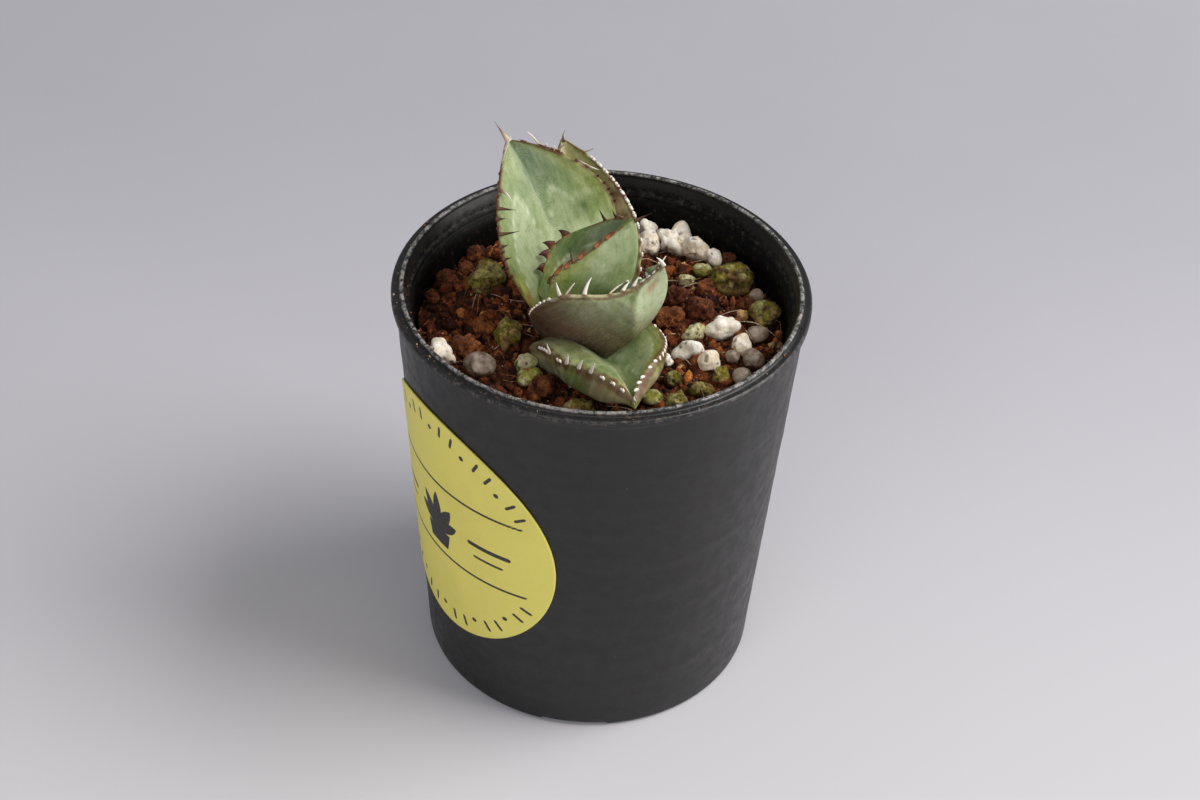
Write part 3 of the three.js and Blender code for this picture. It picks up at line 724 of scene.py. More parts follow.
def pot_outline():
    """The moulding's outline as radius and height, from under the floor round to its top."""
    crest = POT_HEIGHT - LIP_DROP
    under = crest - LIP_HEIGHT
    fillet = WALL_BOTTOM_RADIUS - BOTTOM_FILLET
    ridge = RIDGE_RADIUS + RIDGE_WIDTH / 2
    return [
        (FOOT_INNER_RADIUS - 0.5, FOOT_HEIGHT),
        (FOOT_INNER_RADIUS, FOOT_HEIGHT - 0.3),
        (FOOT_INNER_RADIUS + 0.4, 0.1),
        (FOOT_INNER_RADIUS + 0.6, 0),
        (fillet - 0.4, 0),
        *bend_round((fillet, BOTTOM_FILLET), BOTTOM_FILLET, -90, -8),
        *line_through((WALL_BOTTOM_RADIUS, BOTTOM_FILLET), (WALL_TOP_RADIUS, under), 90),
        (WALL_TOP_RADIUS + 0.05, under),
        *bend_round((LIP_RADIUS - 0.3, under + 0.35), 0.3, -70, 0, 4),
        *bend_round((LIP_RADIUS - 0.45, crest - 0.45), 0.45, 0, 90, 6),
        (RIDGE_RADIUS + RIDGE_WIDTH + 0.35, crest - 0.06),
        (RIDGE_RADIUS + RIDGE_WIDTH + 0.05, crest + 0.05),
        *bend_round((ridge, POT_HEIGHT - RIDGE_WIDTH / 2), RIDGE_WIDTH / 2, 0, 180, 9),
        (RIDGE_RADIUS - 0.05, POT_HEIGHT - 1.0),
        (UPPER_LEDGE[0] + 0.05, POT_HEIGHT - 1.4),
        (UPPER_LEDGE[0], UPPER_LEDGE[1] + 0.15),
        (UPPER_LEDGE[0] - 0.12, UPPER_LEDGE[1]),
        (LOWER_LEDGE[0] + 0.05, UPPER_LEDGE[1] - 0.05),
        (LOWER_LEDGE[0], LOWER_LEDGE[1] + 0.15),
        (LOWER_LEDGE[0] - 0.12, LOWER_LEDGE[1]),
        *line_through(
            (INNER_TOP_RADIUS, LOWER_LEDGE[1] - 0.1), (INNER_BOTTOM_RADIUS, FLOOR_TOP + 1), 24
        ),
        (INNER_BOTTOM_RADIUS - 0.3, FLOOR_TOP + 0.2),
        (INNER_BOTTOM_RADIUS - 1.2, FLOOR_TOP),
    ]


def notch_lift(radius, heading, z):
    """How high the foot's underside is where a notch crosses it."""
    step = 360 / NOTCH["count"]
    off = (heading - NOTCH["heading"] + step / 2) % step - step / 2
    beside = np.abs(np.sin(np.radians(off))) * radius - NOTCH["width"] / 2
    inside = smooth(0.3, -0.3, beside) * smooth(FOOT_INNER_RADIUS - 1, FOOT_INNER_RADIUS, radius)
    return np.maximum(z, NOTCH["height"] * inside)


def pot_points(outline):
    """The revolved outline, with the moulding's faint ripples on the outer wall."""
    outline = np.array(outline)
    heading = np.arange(POT_SEGMENTS) * 360 / POT_SEGMENTS
    radius, turn = np.meshgrid(outline[:, 0], heading, indexing="ij")
    z = np.repeat(outline[:, 1:2], POT_SEGMENTS, axis=1)
    around = np.stack([np.cos(np.radians(turn)), np.sin(np.radians(turn)), z / 9], -1)
    on_wall = smooth(2, 8, z) * smooth(POT_HEIGHT - 2.5, POT_HEIGHT - 6, z)
    on_wall = on_wall * (radius > wall_radius(z) - 0.4)
    ripple = 0.07 * noise(around * [1.6, 1.6, 3.2], 1, 5) + 0.035 * noise(around * [3, 3, 9], 1, 9)
    radius = radius + on_wall * (ripple - 0.05)
    z = notch_lift(radius, turn, z)
    return np.stack([radius * np.cos(np.radians(turn)), radius * np.sin(np.radians(turn)), z], -1)


def drill(piece, places, radius):
    """Cuts round vertical holes through the pot's floor."""
    shape = bmesh.new()
    for x, y in places:
        place = Matrix.Translation((x * MM, y * MM, FLOOR_TOP / 2 * MM))
        size = {"radius1": radius * MM, "radius2": radius * MM, "depth": 4 * FLOOR_TOP * MM}
        bmesh.ops.create_cone(shape, cap_ends=True, segments=32, matrix=place, **size)
    mesh = bpy.data.meshes.new("drill")
    shape.to_mesh(mesh)
    shape.free()
    cutter = new_object("drill", mesh)
    cut = piece.modifiers.new("holes", "BOOLEAN")
    cut.operation, cut.solver, cut.object = "DIFFERENCE", "EXACT", cutter
    graph = bpy.context.evaluated_depsgraph_get()
    piece.data = bpy.data.meshes.new_from_object(piece.evaluated_get(graph))
    piece.modifiers.clear()
    bpy.data.objects.remove(cutter)


def pot_marks(points):
    """How worn (with a painted highlight line along the inner ledge), how soiled and how deep inside the
    pot each point of its skin is.
    """
    radius, z = np.hypot(points[:, 0], points[:, 1]), points[:, 2]
    ridge = RIDGE_RADIUS + RIDGE_WIDTH / 2
    on_ridge = smooth(0.75, 0.2, np.abs(radius - ridge)) * smooth(POT_HEIGHT - 0.5, POT_HEIGHT, z)
    on_lip = smooth(0.5, 0.0, LIP_RADIUS - radius) * smooth(POT_HEIGHT - 1.6, POT_HEIGHT - 1.0, z)
    in_cavity = (radius < wall_radius(z) - 0.6) * (z > FLOOR_TOP - 0.5)
    inside = smooth(POT_HEIGHT - 1.2, POT_HEIGHT - 3.2, z) * in_cavity
    # Painted highlight: a thin light line along the upper ledge's edge.
    ledge = np.exp(-(((z - UPPER_LEDGE[1] - 0.1) / 0.2) ** 2)) * in_cavity
    front = smooth(0.2, -0.8, points[:, 1] / LIP_RADIUS + 0.5 * points[:, 0] / LIP_RADIUS)
    top = smooth(POT_HEIGHT - 2.4, POT_HEIGHT - 1.2, z)
    return {
        "wear_and_highlight": np.maximum(on_ridge, np.maximum(0.2 * on_lip, 0.1 * ledge)),
        "soiled": np.maximum(0.15 * inside, 0.4 * top * front),
        "inner": inside,
    }


def make_pot(material):
    """The pot as one revolved skin, notched and drilled."""
    rows = pot_points(pot_outline())
    points, faces = closed_skin(rows, (0, 0, FOOT_HEIGHT), (0, 0, FLOOR_TOP))
    extra = pot_marks(points)
    piece = add_piece("pot_body", points, faces, material, ["pot"], extra=extra)
    headings = np.radians(DRAIN["heading"] + 360 / DRAIN["count"] * np.arange(DRAIN["count"]))
    places = [(0, 0), *zip(DRAIN["ring"] * np.cos(headings), DRAIN["ring"] * np.sin(headings))]
    drill(piece, places, DRAIN["radius"])


# ---- label -------------------------------------------------------------------------------


def segment_distance(x, y, start, end):
    """Distance in the plane to the straight line between two points."""
    span = np.subtract(end, start)
    share = np.clip(((x - start[0]) * span[0] + (y - start[1]) * span[1]) / (span @ span), 0, 1)
    return np.hypot(x - start[0] - share * span[0], y - start[1] - share * span[1])


def leaf_distance(x, y, base, heading, length, width):
    """Distance to a pointed leaf made of two crossing circles; negative inside it."""
    along, across = math.cos(math.radians(heading)), math.sin(math.radians(heading))
    u = (x - base[0]) * along + (y - base[1]) * across - length / 2
    v = -(x - base[0]) * across + (y - base[1]) * along
    radius = (length**2 / 4 + width**2 / 4) / width
    return np.maximum(np.hypot(u, v - radius + width / 2), np.hypot(u, v + radius - width / 2)) - radius


# The print's measures, from the label's middle: two rules across it, a ring of dashes with a dot
# at every third place, a plain potted seedling, and two short bars on each side of it.
PRINT = {
    "rules": (9.4, -8.2), "rule_end": 0.78, "rule_half": 0.28,
    "ring_places": 48, "ring_start": 0.85, "ring_end": 0.93, "dash_half": 0.32, "dot_radius": 0.55,
    "leaf_root": (0, -2.4), "leaves": ((90, 9), (58, 8), (122, 8), (30, 6.5), (150, 6.5)),
    "leaf_width": 2.6, "cup_middle": -4.4, "cup_half_height": 1.9, "cup_half_width": 3.122,
    "cup_slope": 0.22, "bars": ((9, 17.5, 0.4, 0.5), (10, 16, -2.6, 0.3)),
}


def ring_marks(x, y, radius):
    """Distances to the dashes and dots round the label, left out between the two rules."""
    for k in range(PRINT["ring_places"]):
        turn = 2 * math.pi * k / PRINT["ring_places"]
        way = np.array([math.cos(turn), math.sin(turn)]) * radius
        start, end = PRINT["ring_start"] * way, PRINT["ring_end"] * way
        if abs(start[1]) < PRINT["rules"][0] + 0.1:
            continue
        if k % 3:
            yield segment_distance(x, y, start, end) - PRINT["dash_half"]
        else:
            yield np.hypot(x - start[0], y - start[1]) - PRINT["dot_radius"]


def print_distance(x, y, radius):
    """Distance to the nearest printed mark on the flat label; negative on a mark."""
    reach = PRINT["rule_end"] * radius
    marks = list(ring_marks(x, y, radius))
    for height in PRINT["rules"]:
        marks.append(segment_distance(x, y, (-reach, height), (reach, height)) - PRINT["rule_half"])
    for heading, length in PRINT["leaves"]:
        marks.append(leaf_distance(x, y, PRINT["leaf_root"], heading, length, PRINT["leaf_width"]))
    above = y - PRINT["cup_middle"]
    side = np.abs(x) - PRINT["cup_half_width"] - PRINT["cup_slope"] * above
    marks.append(np.maximum(side, np.abs(above) - PRINT["cup_half_height"]))
    for near, far, height, half in PRINT["bars"]:
        marks.append(segment_distance(np.abs(x), y, (near, height), (far, height)) - half)
    return np.min(marks, axis=0)


def make_label(material):
    """The round sticker, bent round the pot's wall and lifted in a few slack places."""
    low, high = cad_limits("label")
    middle = (low + high) / 2
    radius = (high[2] - low[2]) / 2
    outline = np.array([v.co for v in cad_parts["label"].data.vertices])
    heading = math.atan2(*outline.mean(axis=0)[1::-1])
    share = np.linspace(1 / LABEL_RINGS, 1, LABEL_RINGS)[:, None]
    turn = np.linspace(0, 2 * np.pi, LABEL_SPOKES, endpoint=False)[None]
    x = np.append((radius * share * np.cos(turn)).ravel(), 0)
    y = np.append((radius * share * np.sin(turn)).ravel(), 0)
    wrinkle = 0.05 * np.maximum(noise(np.stack([x, y, 0 * x], -1), 7, 3), 0)
    z = middle[2] + y
    angle = heading + x / wall_radius(z)
    sheets = []
    for rise in (LABEL_CLEARANCE + LABEL_THICKNESS + wrinkle, LABEL_CLEARANCE - 0.1 + wrinkle):
        reach = wall_radius(z) + rise
        sheets.append(np.stack([reach * np.cos(angle), reach * np.sin(angle), z], -1))
    count = len(x)
    ring = np.arange(LABEL_SPOKES)
    faces = []
    for start in (0, count):
        faces.append(grid_faces(LABEL_RINGS, LABEL_SPOKES) + start)
        faces.append(fan_faces(count - 1, ring)[:, ::-1] + start)
    rim = (LABEL_RINGS - 1) * LABEL_SPOKES + ring
    faces.append(np.stack([rim, np.roll(rim, -1), np.roll(rim, -1) + count, rim + count], -1))
    marks = np.tile(print_distance(x, y, radius), 2)
    points, extra = np.concatenate(sheets), {"print": marks}
    add_piece("round_label", points, faces, material, ["label"], extra=extra)


# ---- leaves ------------------------------------------------------------------------------


def through(values, t):
    """The curve at t through three values at 0, 0.5 and 1."""
    start, middle, end = values
    return (1 - t) * (1 - 2 * t) * start + 4 * t * (1 - t) * middle + t * (2 * t - 1) * end


def midrib_course(leaf, t):
    """The midrib's heading and its direction at t."""
    heading, climb = np.radians(through(leaf["heading"], t)), np.radians(through(leaf["climb"], t))
    flat = np.cos(climb)
    return heading, np.stack([flat * np.cos(heading), flat * np.sin(heading), np.sin(climb)], -1)


def midrib(leaf, t):
    """The midrib's points and directions at t: along it, to the left and up from the inner face."""
    fine = np.linspace(BURIED, 1, MIDRIB_STEPS)
    _, along = midrib_course(leaf, fine)
    steps = (along[1:] + along[:-1]) / 2 * leaf["length"] * (fine[1] - fine[0])
    path = np.concatenate([np.zeros((1, 3)), np.cumsum(steps, axis=0)])
    start = np.array([np.interp(0, fine, path[:, k]) for k in range(3)])
    path = path - start + np.array(leaf["root"]) + [0, 0, SOIL_TOP]
    point = np.stack([np.interp(t, fine, path[:, k]) for k in range(3)], -1)
    heading, along = midrib_course(leaf, t)
    side = np.stack([-np.sin(heading), np.cos(heading), 0 * heading], -1)
    rise = np.cross(along, side)
    roll = np.radians(through(leaf["roll"], t))[..., None]
    left = side * np.cos(roll) + rise * np.sin(roll)
    up = rise * np.cos(roll) - side * np.sin(roll)
    return point, along, left, up


def width_share(leaf, t):
    """A half's width at t as a share of its widest."""
    widest = leaf["widest"]
    lower = leaf["neck"] + (1 - leaf["neck"]) * np.sin(np.pi / 2 * np.clip(t / widest, -0.6, 1))
    past = np.clip((t - widest) / (1 - widest), 0, 1)
    return np.where(t < widest, lower, np.maximum(np.cos(np.pi / 2 * past), 0) ** leaf["taper"])


def half_width(leaf, side, t):
    """Width of one half of the blade, with a small mound under each tooth."""
    places = [at for where, _, ats, *_ in leaf["teeth"] if where == side for at in ats]
    mounds = sum(np.exp(-(((t - at) * leaf["length"] / MOUND_LENGTH) ** 2)) for at in places)
    width = leaf[side]["width"] * width_share(leaf, t)
    return width + MOUND_HEIGHT * np.minimum(mounds, 1) * smooth(0, 3, width)


def crease_place(leaf, t):
    """Where a leaf's crease runs, as a share of the half width, at each t."""
    (start_t, start_s), (end_t, end_s) = leaf["crease"]["start"], leaf["crease"]["end"]
    at = start_s + (end_s - start_s) * np.clip((t - start_t) / (end_t - start_t), 0, 1.3)
    return np.clip(at, 0, 1)


def blade_lean(leaf, side, t, share):
    """How far a half's surface leans up from the midrib's plane, in radians."""
    lean = through(leaf[side]["fold"], t) + leaf[side]["curl"] * share
    if "crease" in leaf and leaf["crease"]["side"] == side:
        at = crease_place(leaf, t)
        lean = lean + leaf["crease"]["angle"] * (smooth(at - 0.05, at + 0.05, share) - 1 + at)
    return np.radians(lean)


def blade(leaf, t, s):
    """The design surface at share s of the half width (left is positive), the half width there,
    the direction on to the margin, the surface's inner direction and its lean."""
    point, _, left, up = midrib(leaf, t)
    is_left = s >= 0
    share = np.abs(s)
    values = {}
    for name in ("left", "right"):
        width = half_width(leaf, name, t)
        sideways, upward = 0, 0
        for part in range(FOLD_STEPS):
            angle = blade_lean(leaf, name, t, share * (part + 0.5) / FOLD_STEPS)
            sideways = sideways + np.cos(angle) * width * share / FOLD_STEPS
            upward = upward + np.sin(angle) * width * share / FOLD_STEPS
        values[name] = (blade_lean(leaf, name, t, share), width, sideways, upward)
    pairs = zip(values["left"], values["right"])
    lean, width, sideways, upward = (np.where(is_left, a, b) for a, b in pairs)
    sign = np.where(is_left, 1.0, -1.0)[..., None]
    place = point + sign * left * sideways[..., None] + up * upward[..., None]
    cosine, sine = np.cos(lean)[..., None], np.sin(lean)[..., None]
    outwards = sign * left * cosine + up * sine
    normal = up * cosine - sign * left * sine
    inward = unit(up + (normal - up) * (share**2)[..., None])
    return place, width, outwards, inward, lean


def skin_offsets(leaf, t, s, width, lean):
    """How far the inner and the outer face lie from the design surface."""
    round_off = leaf["edge"] * 0.6
    past = np.clip((np.abs(s) * width - width + round_off) / round_off, 0, 1)
    cap = np.sqrt(1 - past**2)
    flesh = (leaf["thickness"] - leaf["edge"]) * (1 - 0.7 * np.clip(t, 0, 1)) * (1 - s**2)
    thickness = (leaf["edge"] + flesh) * cap
    near_rim = smooth(0.75, 1, np.abs(s))
    inner_share = leaf["inner_share"] * (1 - near_rim) + 0.5 * near_rim
    reach = 1 / np.maximum(np.cos(lean * (1 - np.abs(s))), 0.4)
    pillow, belly = (
        np.where(s >= 0, leaf["left"].get(key, 0), leaf["right"].get(key, 0)) * smooth(0, 7, width)
        for key in ("pillow", "belly")
    )
    pillow = pillow * np.sin(np.pi * np.abs(s) ** 1.2) ** 1.3
    belly = belly * np.sin(np.pi * np.abs(s) ** 3)
    return thickness * inner_share * reach + pillow, -thickness * (1 - inner_share) - belly


def flesh_tint(leaf, points, t, s, width, face, rim):
    """The painted colour at each point of a blade; rim is its distance from the margin."""
    across = np.stack([s * width / 0.7, t * leaf["length"] / 9, face], -1)
    streaks = fractal(across, 1, 3, 31)
    clouds = fractal(points, 5, 4, 7)
    tint = np.where(face[..., None] > 0, leaf["inner"], leaf["outer"])
    tint = blend(tint, BLOOM, 0.50 * smooth(-0.15, 0.40, clouds) + 0.15 * smooth(0, 0.5, streaks))
    tint = blend(tint, GRASS, 0.75 * smooth(-0.02, 0.32, fractal(points, 3.0, 4, 53)))
    tint = tint * (1 + 0.16 * streaks)[..., None]
    tint = blend(tint, LIME, 0.45 * smooth(2.2, 0.3, rim) * smooth(-0.3, 0.3, clouds))
    # Painted shade along the fold: the inner face is darkened just right of the midrib, and a thin
    # painted highlight lightens it just left of the midrib.
    fold_shade = leaf.get("fold_shade", 0) * (face > 0) * smooth(0.15, 0.5, t)
    tint = blend(tint, SHADE, fold_shade * np.exp(-np.abs(s) / 0.2) * (s < -0.01))
    tint = blend(tint, BLOOM, 0.4 * fold_shade * np.exp(-np.abs(s) / 0.06) * (s >= -0.01))
    if "crease" in leaf:
        beyond = (np.abs(s) - crease_place(leaf, t)) * smooth(0.3, 0.45, t)
        on_side = (s < 0) * (face < 0) * smooth(0.3, 0.45, t)
        # Between the midrib and the crease the outer face is lightened, partly by its real pale bloom
        # and partly as painted light on the side turned to the lamps; just past the crease a band of
        # painted shade darkens it.
        tint = blend(tint, BLOOM, 0.6 * on_side * smooth(0.02, -0.05, beyond))
        tint = blend(tint, OLIVE, 0.5 * on_side * np.exp(-(((beyond - 0.07) / 0.05) ** 2)))
    for side, at_t, at_s, over_t, over_s, colour, strength in leaf["patches"]:
        spread = ((t - at_t) / over_t) ** 2 + ((s - at_s) / over_s) ** 2
        ragged = np.exp(-spread * (1 + 0.8 * fractal(points, 3, 4, 90)))
        tint = blend(tint, colour, strength * ragged * (face * side > 0))
    return tint


def imprint(t, s, middle, spread, apex, height):
    """The pale arch that a neighbour's edge pressed into the bud: 1 on its line, less under it."""
    arch = apex - height * ((s - middle) / spread) ** 2
    line = np.exp(-(((t - arch) / 0.028) ** 2))
    under = smooth(0.02, -0.05, t - arch) * smooth(-0.45, -0.2, t - arch)
    return np.maximum(line, 0.35 * under) * (np.abs(s - middle) < spread)


def leaf_grid():
    """The t and s of a leaf's rows of points, closer towards its tip and margins, and the face
    that each lies on: 1 inner, -1 outer."""
    rows = BURIED + (1 - BURIED) * (1 - (1 - np.linspace(0, 1, LEAF_STATIONS)) ** 1.35)
    rows = np.append(rows[:-1], LAST_STATION)
    spread = np.sin(np.linspace(-np.pi / 2, np.pi / 2, LEAF_SECTION + 1))
    t, s = np.meshgrid(rows, np.concatenate([-spread[:-1], spread[:-1]]), indexing="ij")
    face = np.broadcast_to(np.repeat([1.0, -1.0], LEAF_SECTION), t.shape)
    return t, s, face


def border_tint(leaf, tint, points, t, face, rim, wobble):
    """The tint with the leaf's dark, broken border painted on, up to where the spine starts."""
    width, depth = leaf["border_width"], leaf.get("border_depth", 0)
    if depth:
        line = smooth(width + 0.25, 0.1, np.abs(rim + wobble - depth)) * (face < 0)
        tint = blend(tint, BONE, 0.6 * smooth(depth, 0.1, rim) * (face < 0))
    else:
        line = smooth(width + 0.3, 0.1, rim + wobble)
    broken = smooth(-0.55, 0.1, fractal(points, 2.2, 3, 21) - leaf.get("gaps", 0))
    return blend(tint, leaf["border"], 0.85 * line * broken * (t < 0.995))


def leaf_skin(leaf):
    """A blade's closed skin, its painted tint, and the bloom and directions of its grain."""
    t, s, face = leaf_grid()
    place, width, _, inward, lean = blade(leaf, t, s)
    inner, outer = skin_offsets(leaf, t, s, width, lean)
    offset = np.where(face > 0, inner, outer)
    points = place + inward * offset[..., None]
    rim = np.hypot(width * (1 - np.abs(s)), np.maximum(np.abs(offset) - leaf["edge"], 0))
    tint = flesh_tint(leaf, points, t, s, width, face, rim)
    arches = imprint(t, s, 0.45, 0.4, 0.72, 0.5) + 0.6 * imprint(t, s, -0.3, 0.3, 0.66, 0.3)
    arches = arches * (face > 0) * smooth(-0.5, 0.2, fractal(points, 2.5, 3, 12))
    tint = blend(tint, BLOOM, np.clip(0.9 * arches, 0, 1))
    wobble = 0.28 * fractal(points, 1.1, 3, 77)
    tint = border_tint(leaf, tint, points, t, face, rim, wobble)
    for side, kind, places, *_ in leaf["teeth"]:
        same = s >= 0 if side == "left" else s < 0
        for at in places:
            away = np.hypot((t - at) * leaf["length"], rim)
            tint = blend(tint, TEETH[kind].stain, 0.8 * same * smooth(0.95, 0.3, away + wobble))
    relief = 0.07 * fractal(points, 4, 3, 40) + 0.025 * fractal(points, 0.8, 2, 41) - 0.05 * arches
    points = points + inward * (face * relief * smooth(0, 1.5, rim))[..., None]
    bloom = 0.20 + 0.42 * fractal(points, 3, 3, 66) - 0.25 * smooth(1.2, 0.2, rim)
    grain = {
        "bloom": np.clip(bloom, 0, 1),
        "across": s * width * MM,
        "along": t * leaf["length"] * MM / STREAK_STRETCH,
    }
    return points, tint, grain


def tooth(root, side_on, onward, inward, kind, length, lean, tilt, bend):
    """A curved, tapered tooth: its closed tube and the colours along it."""
    style = TEETH[kind]
    lean, tilt, bend = (math.radians(a + rng.normal(0, TOOTH_UNEVEN)) for a in (lean, tilt, bend))
    in_plane = side_on * math.cos(lean) + onward * math.sin(lean)
    start = unit(in_plane * math.cos(tilt) + inward * math.sin(tilt))
    towards = onward - start * (onward @ start)
    towards = unit(towards if np.linalg.norm(towards) > 0.2 else inward)
    share = np.linspace(0, 1, TOOTH_STEPS)
    if style.taper:
        wide = np.maximum(style.width * (1 - share) ** style.taper, 0.045)
    else:
        bend *= COIL
        wide = style.width * np.sqrt(np.maximum(1 - (2 * share - 0.9) ** 2 / 1.25, 0.02))
    turn = bend * share
    steps = start * np.cos(turn)[:, None] + towards * np.sin(turn)[:, None]
    path = np.cumsum(steps, axis=0) * (length + TOOTH_SUNK) / TOOTH_STEPS
    points, faces = tube(path - start * TOOTH_SUNK + root, wide, TOOTH_SIDES, style.flat, onward)
    along = np.append(np.repeat(share, TOOTH_SIDES), [0, 1])
    return points, faces, blend(style.base, style.tip, smooth(0.1, 0.75, along))


def leaf_teeth(leaf):
    """The teeth of both margins and the terminal spine, as separate closed bodies."""
    for side, kind, places, length, lean, tilt, bend in leaf["teeth"]:
        s = 1.0 if side == "left" else -1.0
        for at in places:
            near = at + np.array([-0.01, 0.0, 0.01])
            place, _, outwards, inward, _ = blade(leaf, near, np.full(3, s))
            onward = unit(place[2] - place[0])
            side_on = unit(outwards[1] - onward * (outwards[1] @ onward))
            size = length * (0.85 + 0.3 * rng.random())
            yield tooth(place[1], side_on, onward, inward[1], kind, size, lean, tilt, bend)
    kind, length, lean, bend = leaf["tip"]
    point, along, left, up = (value[0] for value in midrib(leaf, np.array([0.985])))
    yield tooth(point, along, up, left, kind, length, lean, 0, bend)


def make_leaf(name, flesh, horn):
    """A leaf: its blade and, in the same mesh with a material of their own, its teeth."""
    leaf = LEAVES[name]
    rows, tint, grain = leaf_skin(leaf)
    points, faces = closed_skin(rows, rows[0].mean(axis=0), rows[-1].mean(axis=0))
    flesh_points, flesh_faces = len(points), sum(len(group) for group in faces)
    tints = np.concatenate([tint.reshape(-1, 3), tint[0, :1], tint[-1, :1]])
    for tooth_points, tooth_faces, tooth_tint in leaf_teeth(leaf):
        faces += [group + len(points) for group in tooth_faces]
        points = np.concatenate([points, tooth_points])
        tints = np.concatenate([tints, tooth_tint])
    spare = np.zeros(2 + len(points) - flesh_points)
    extra = {key: np.append(values.ravel(), spare) for key, values in grain.items()}
    piece = add_piece(name + "_blade", points, faces, flesh, [name], tints, extra)
    piece.data.materials.append(horn)
    slots = np.zeros(len(piece.data.polygons), np.int32)
    slots[flesh_faces:] = 1
    piece.data.polygons.foreach_set("material_index", slots)


def make_crown(material):
    """The short stem under the leaves: a knobbly cone with the scars of fallen leaves."""
    low, high = cad_limits("stem")
    x, y, _ = (low + high) / 2
    neck = SOIL_TOP - 4
    rings, sides = 60, 64
    z = np.linspace(low[2] + 0.3, high[2] - 0.3, rings)[:, None] + np.zeros(sides)
    turn = np.linspace(0, 2 * np.pi, sides, endpoint=False)
    swell = smooth(low[2], neck, z) * 0.75 + 0.25
    radius = (high[0] - low[0]) / 2 * swell
    radius = radius * np.sqrt(np.maximum(1 - smooth(high[2] - 3, high[2], z), 0.02))
    smooth_cone = np.stack([radius * np.cos(turn), radius * np.sin(turn), z], -1)
    radius = radius * (1 - 0.05 * (1 + fractal(smooth_cone, 1.5, 3, 4)))
    rows = np.stack([x + radius * np.cos(turn), y + radius * np.sin(turn), z], -1)
    scars = 0.5 + 0.5 * np.sin(z * 4)
    tint = blend(blend(OLIVE, TAN, scars), BARK, smooth(SOIL_TOP, neck, z))
    tints = np.concatenate([tint.reshape(-1, 3), tint[0, :1], tint[-1, :1]])
    points, faces = closed_skin(rows, rows[0].mean(axis=0), rows[-1].mean(axis=0))
    add_piece("crown", points, faces, material, ["stem"], tints)


# ---- grains ------------------------------------------------------------------------------

# How each kind of grain looks: how far it swells past its CAD solid's flat faces, lumpiness and
# the size of its lumps, fine roughness, pits, flat chips, the main colours, the colour and amount
# of what grows or lies on it, the pale crust on some, and how far growth keeps to the top
# (to the underside where grows_on is below 0).
GRAINS = {
    # On pumice the growth colour is a tan tone that makes it darker towards its underside.
    "pumice": {
        "swell": 1.32, "lumps": 0.75, "lump_size": 2.4, "rough": 0.10, "pits": 0.12, "chips": 2,
        "colours": (rgb(255, 250, 238), rgb(240, 224, 200)), "growth": rgb(178, 152, 108), "grown": 0.25,
        "grows_on": -0.5,
    },
    "akadama": {
        "swell": 1.12, "lumps": 0.35, "lump_size": 1.8, "rough": 0.20, "pits": 0.10, "chips": 3,
        "colours": (rgb(146, 84, 42), rgb(80, 38, 18)), "growth": rgb(48, 22, 11), "grown": 0.4,
    },
    "zeolite": {
        "swell": 1.25, "lumps": 0.60, "lump_size": 2.2, "rough": 0.08, "pits": 0.06, "chips": 6,
        "colours": (rgb(214, 204, 162), rgb(140, 134, 66)), "growth": rgb(132, 134, 34), "grown": 0.5,
        "crust": rgb(226, 220, 196),
    },
    "river_stone": {
        "swell": 1.18, "lumps": 0.18, "lump_size": 3.0, "rough": 0.02, "pits": 0.0, "chips": 1,
        "colours": (rgb(152, 134, 114), rgb(112, 94, 76)), "growth": rgb(84, 50, 28), "grown": 0.5,
    },
    "mossy_stone": {
        "swell": 1.15, "lumps": 0.50, "lump_size": 2.4, "rough": 0.16, "pits": 0.12, "chips": 3,
        "colours": (rgb(132, 106, 60), rgb(74, 52, 26)), "growth": rgb(110, 106, 24), "grown": 0.7,
        "crust": rgb(198, 188, 128),
    },
}
GRAIN_LEVEL = 5                     # subdivisions of each grain's sphere
SOFTENING = 140                     # rounds of averaging that round off a CAD solid's flat faces
PIT_SIZE = 0.6


def kind_of(node):
    """A grain's kind, which is its node's name without the number."""
    return node.rsplit("_", 1)[0]


def cad_reach(node, directions):
    """The middle of a CAD node and how far its surface lies from it in each direction."""
    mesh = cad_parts[node].data
    corners = [vertex.co / MM for vertex in mesh.vertices]
    tree = BVHTree.FromPolygons(corners, [tuple(face.vertices) for face in mesh.polygons])
    middle = sum(corners, Vector()) / len(corners)
    reach = [(tree.ray_cast(middle, Vector(way))[3] or 0.5) for way in directions]
    return np.array(middle), np.array(reach)


def soften(values, faces, rounds):
    """Values at a mesh's points, averaged with their neighbours' a number of times."""
    pairs = np.concatenate([faces[:, [0, 1]], faces[:, [1, 2]], faces[:, [2, 0]]])
    counts = np.bincount(pairs.ravel(), minlength=len(values))
    for _ in range(rounds):
        total = np.bincount(pairs[:, 0], values[pairs[:, 1]], len(values))
        total += np.bincount(pairs[:, 1], values[pairs[:, 0]], len(values))
        values = 0.5 * values + 0.5 * total / counts
    return values


def chipped(directions, reach, count, seed):
    """A surface's distances after a number of flat chips have broken off it."""
    chance = np.random.default_rng(seed)
    for _ in range(count):
        facing = unit(chance.normal(size=3))
        towards = directions @ facing
        plane = np.max(reach * towards) * (0.70 + 0.16 * chance.random())
        cut = plane / np.maximum(towards, 0.2)
        reach = np.where(towards > 0.2, np.minimum(reach, cut), reach)
    return reach


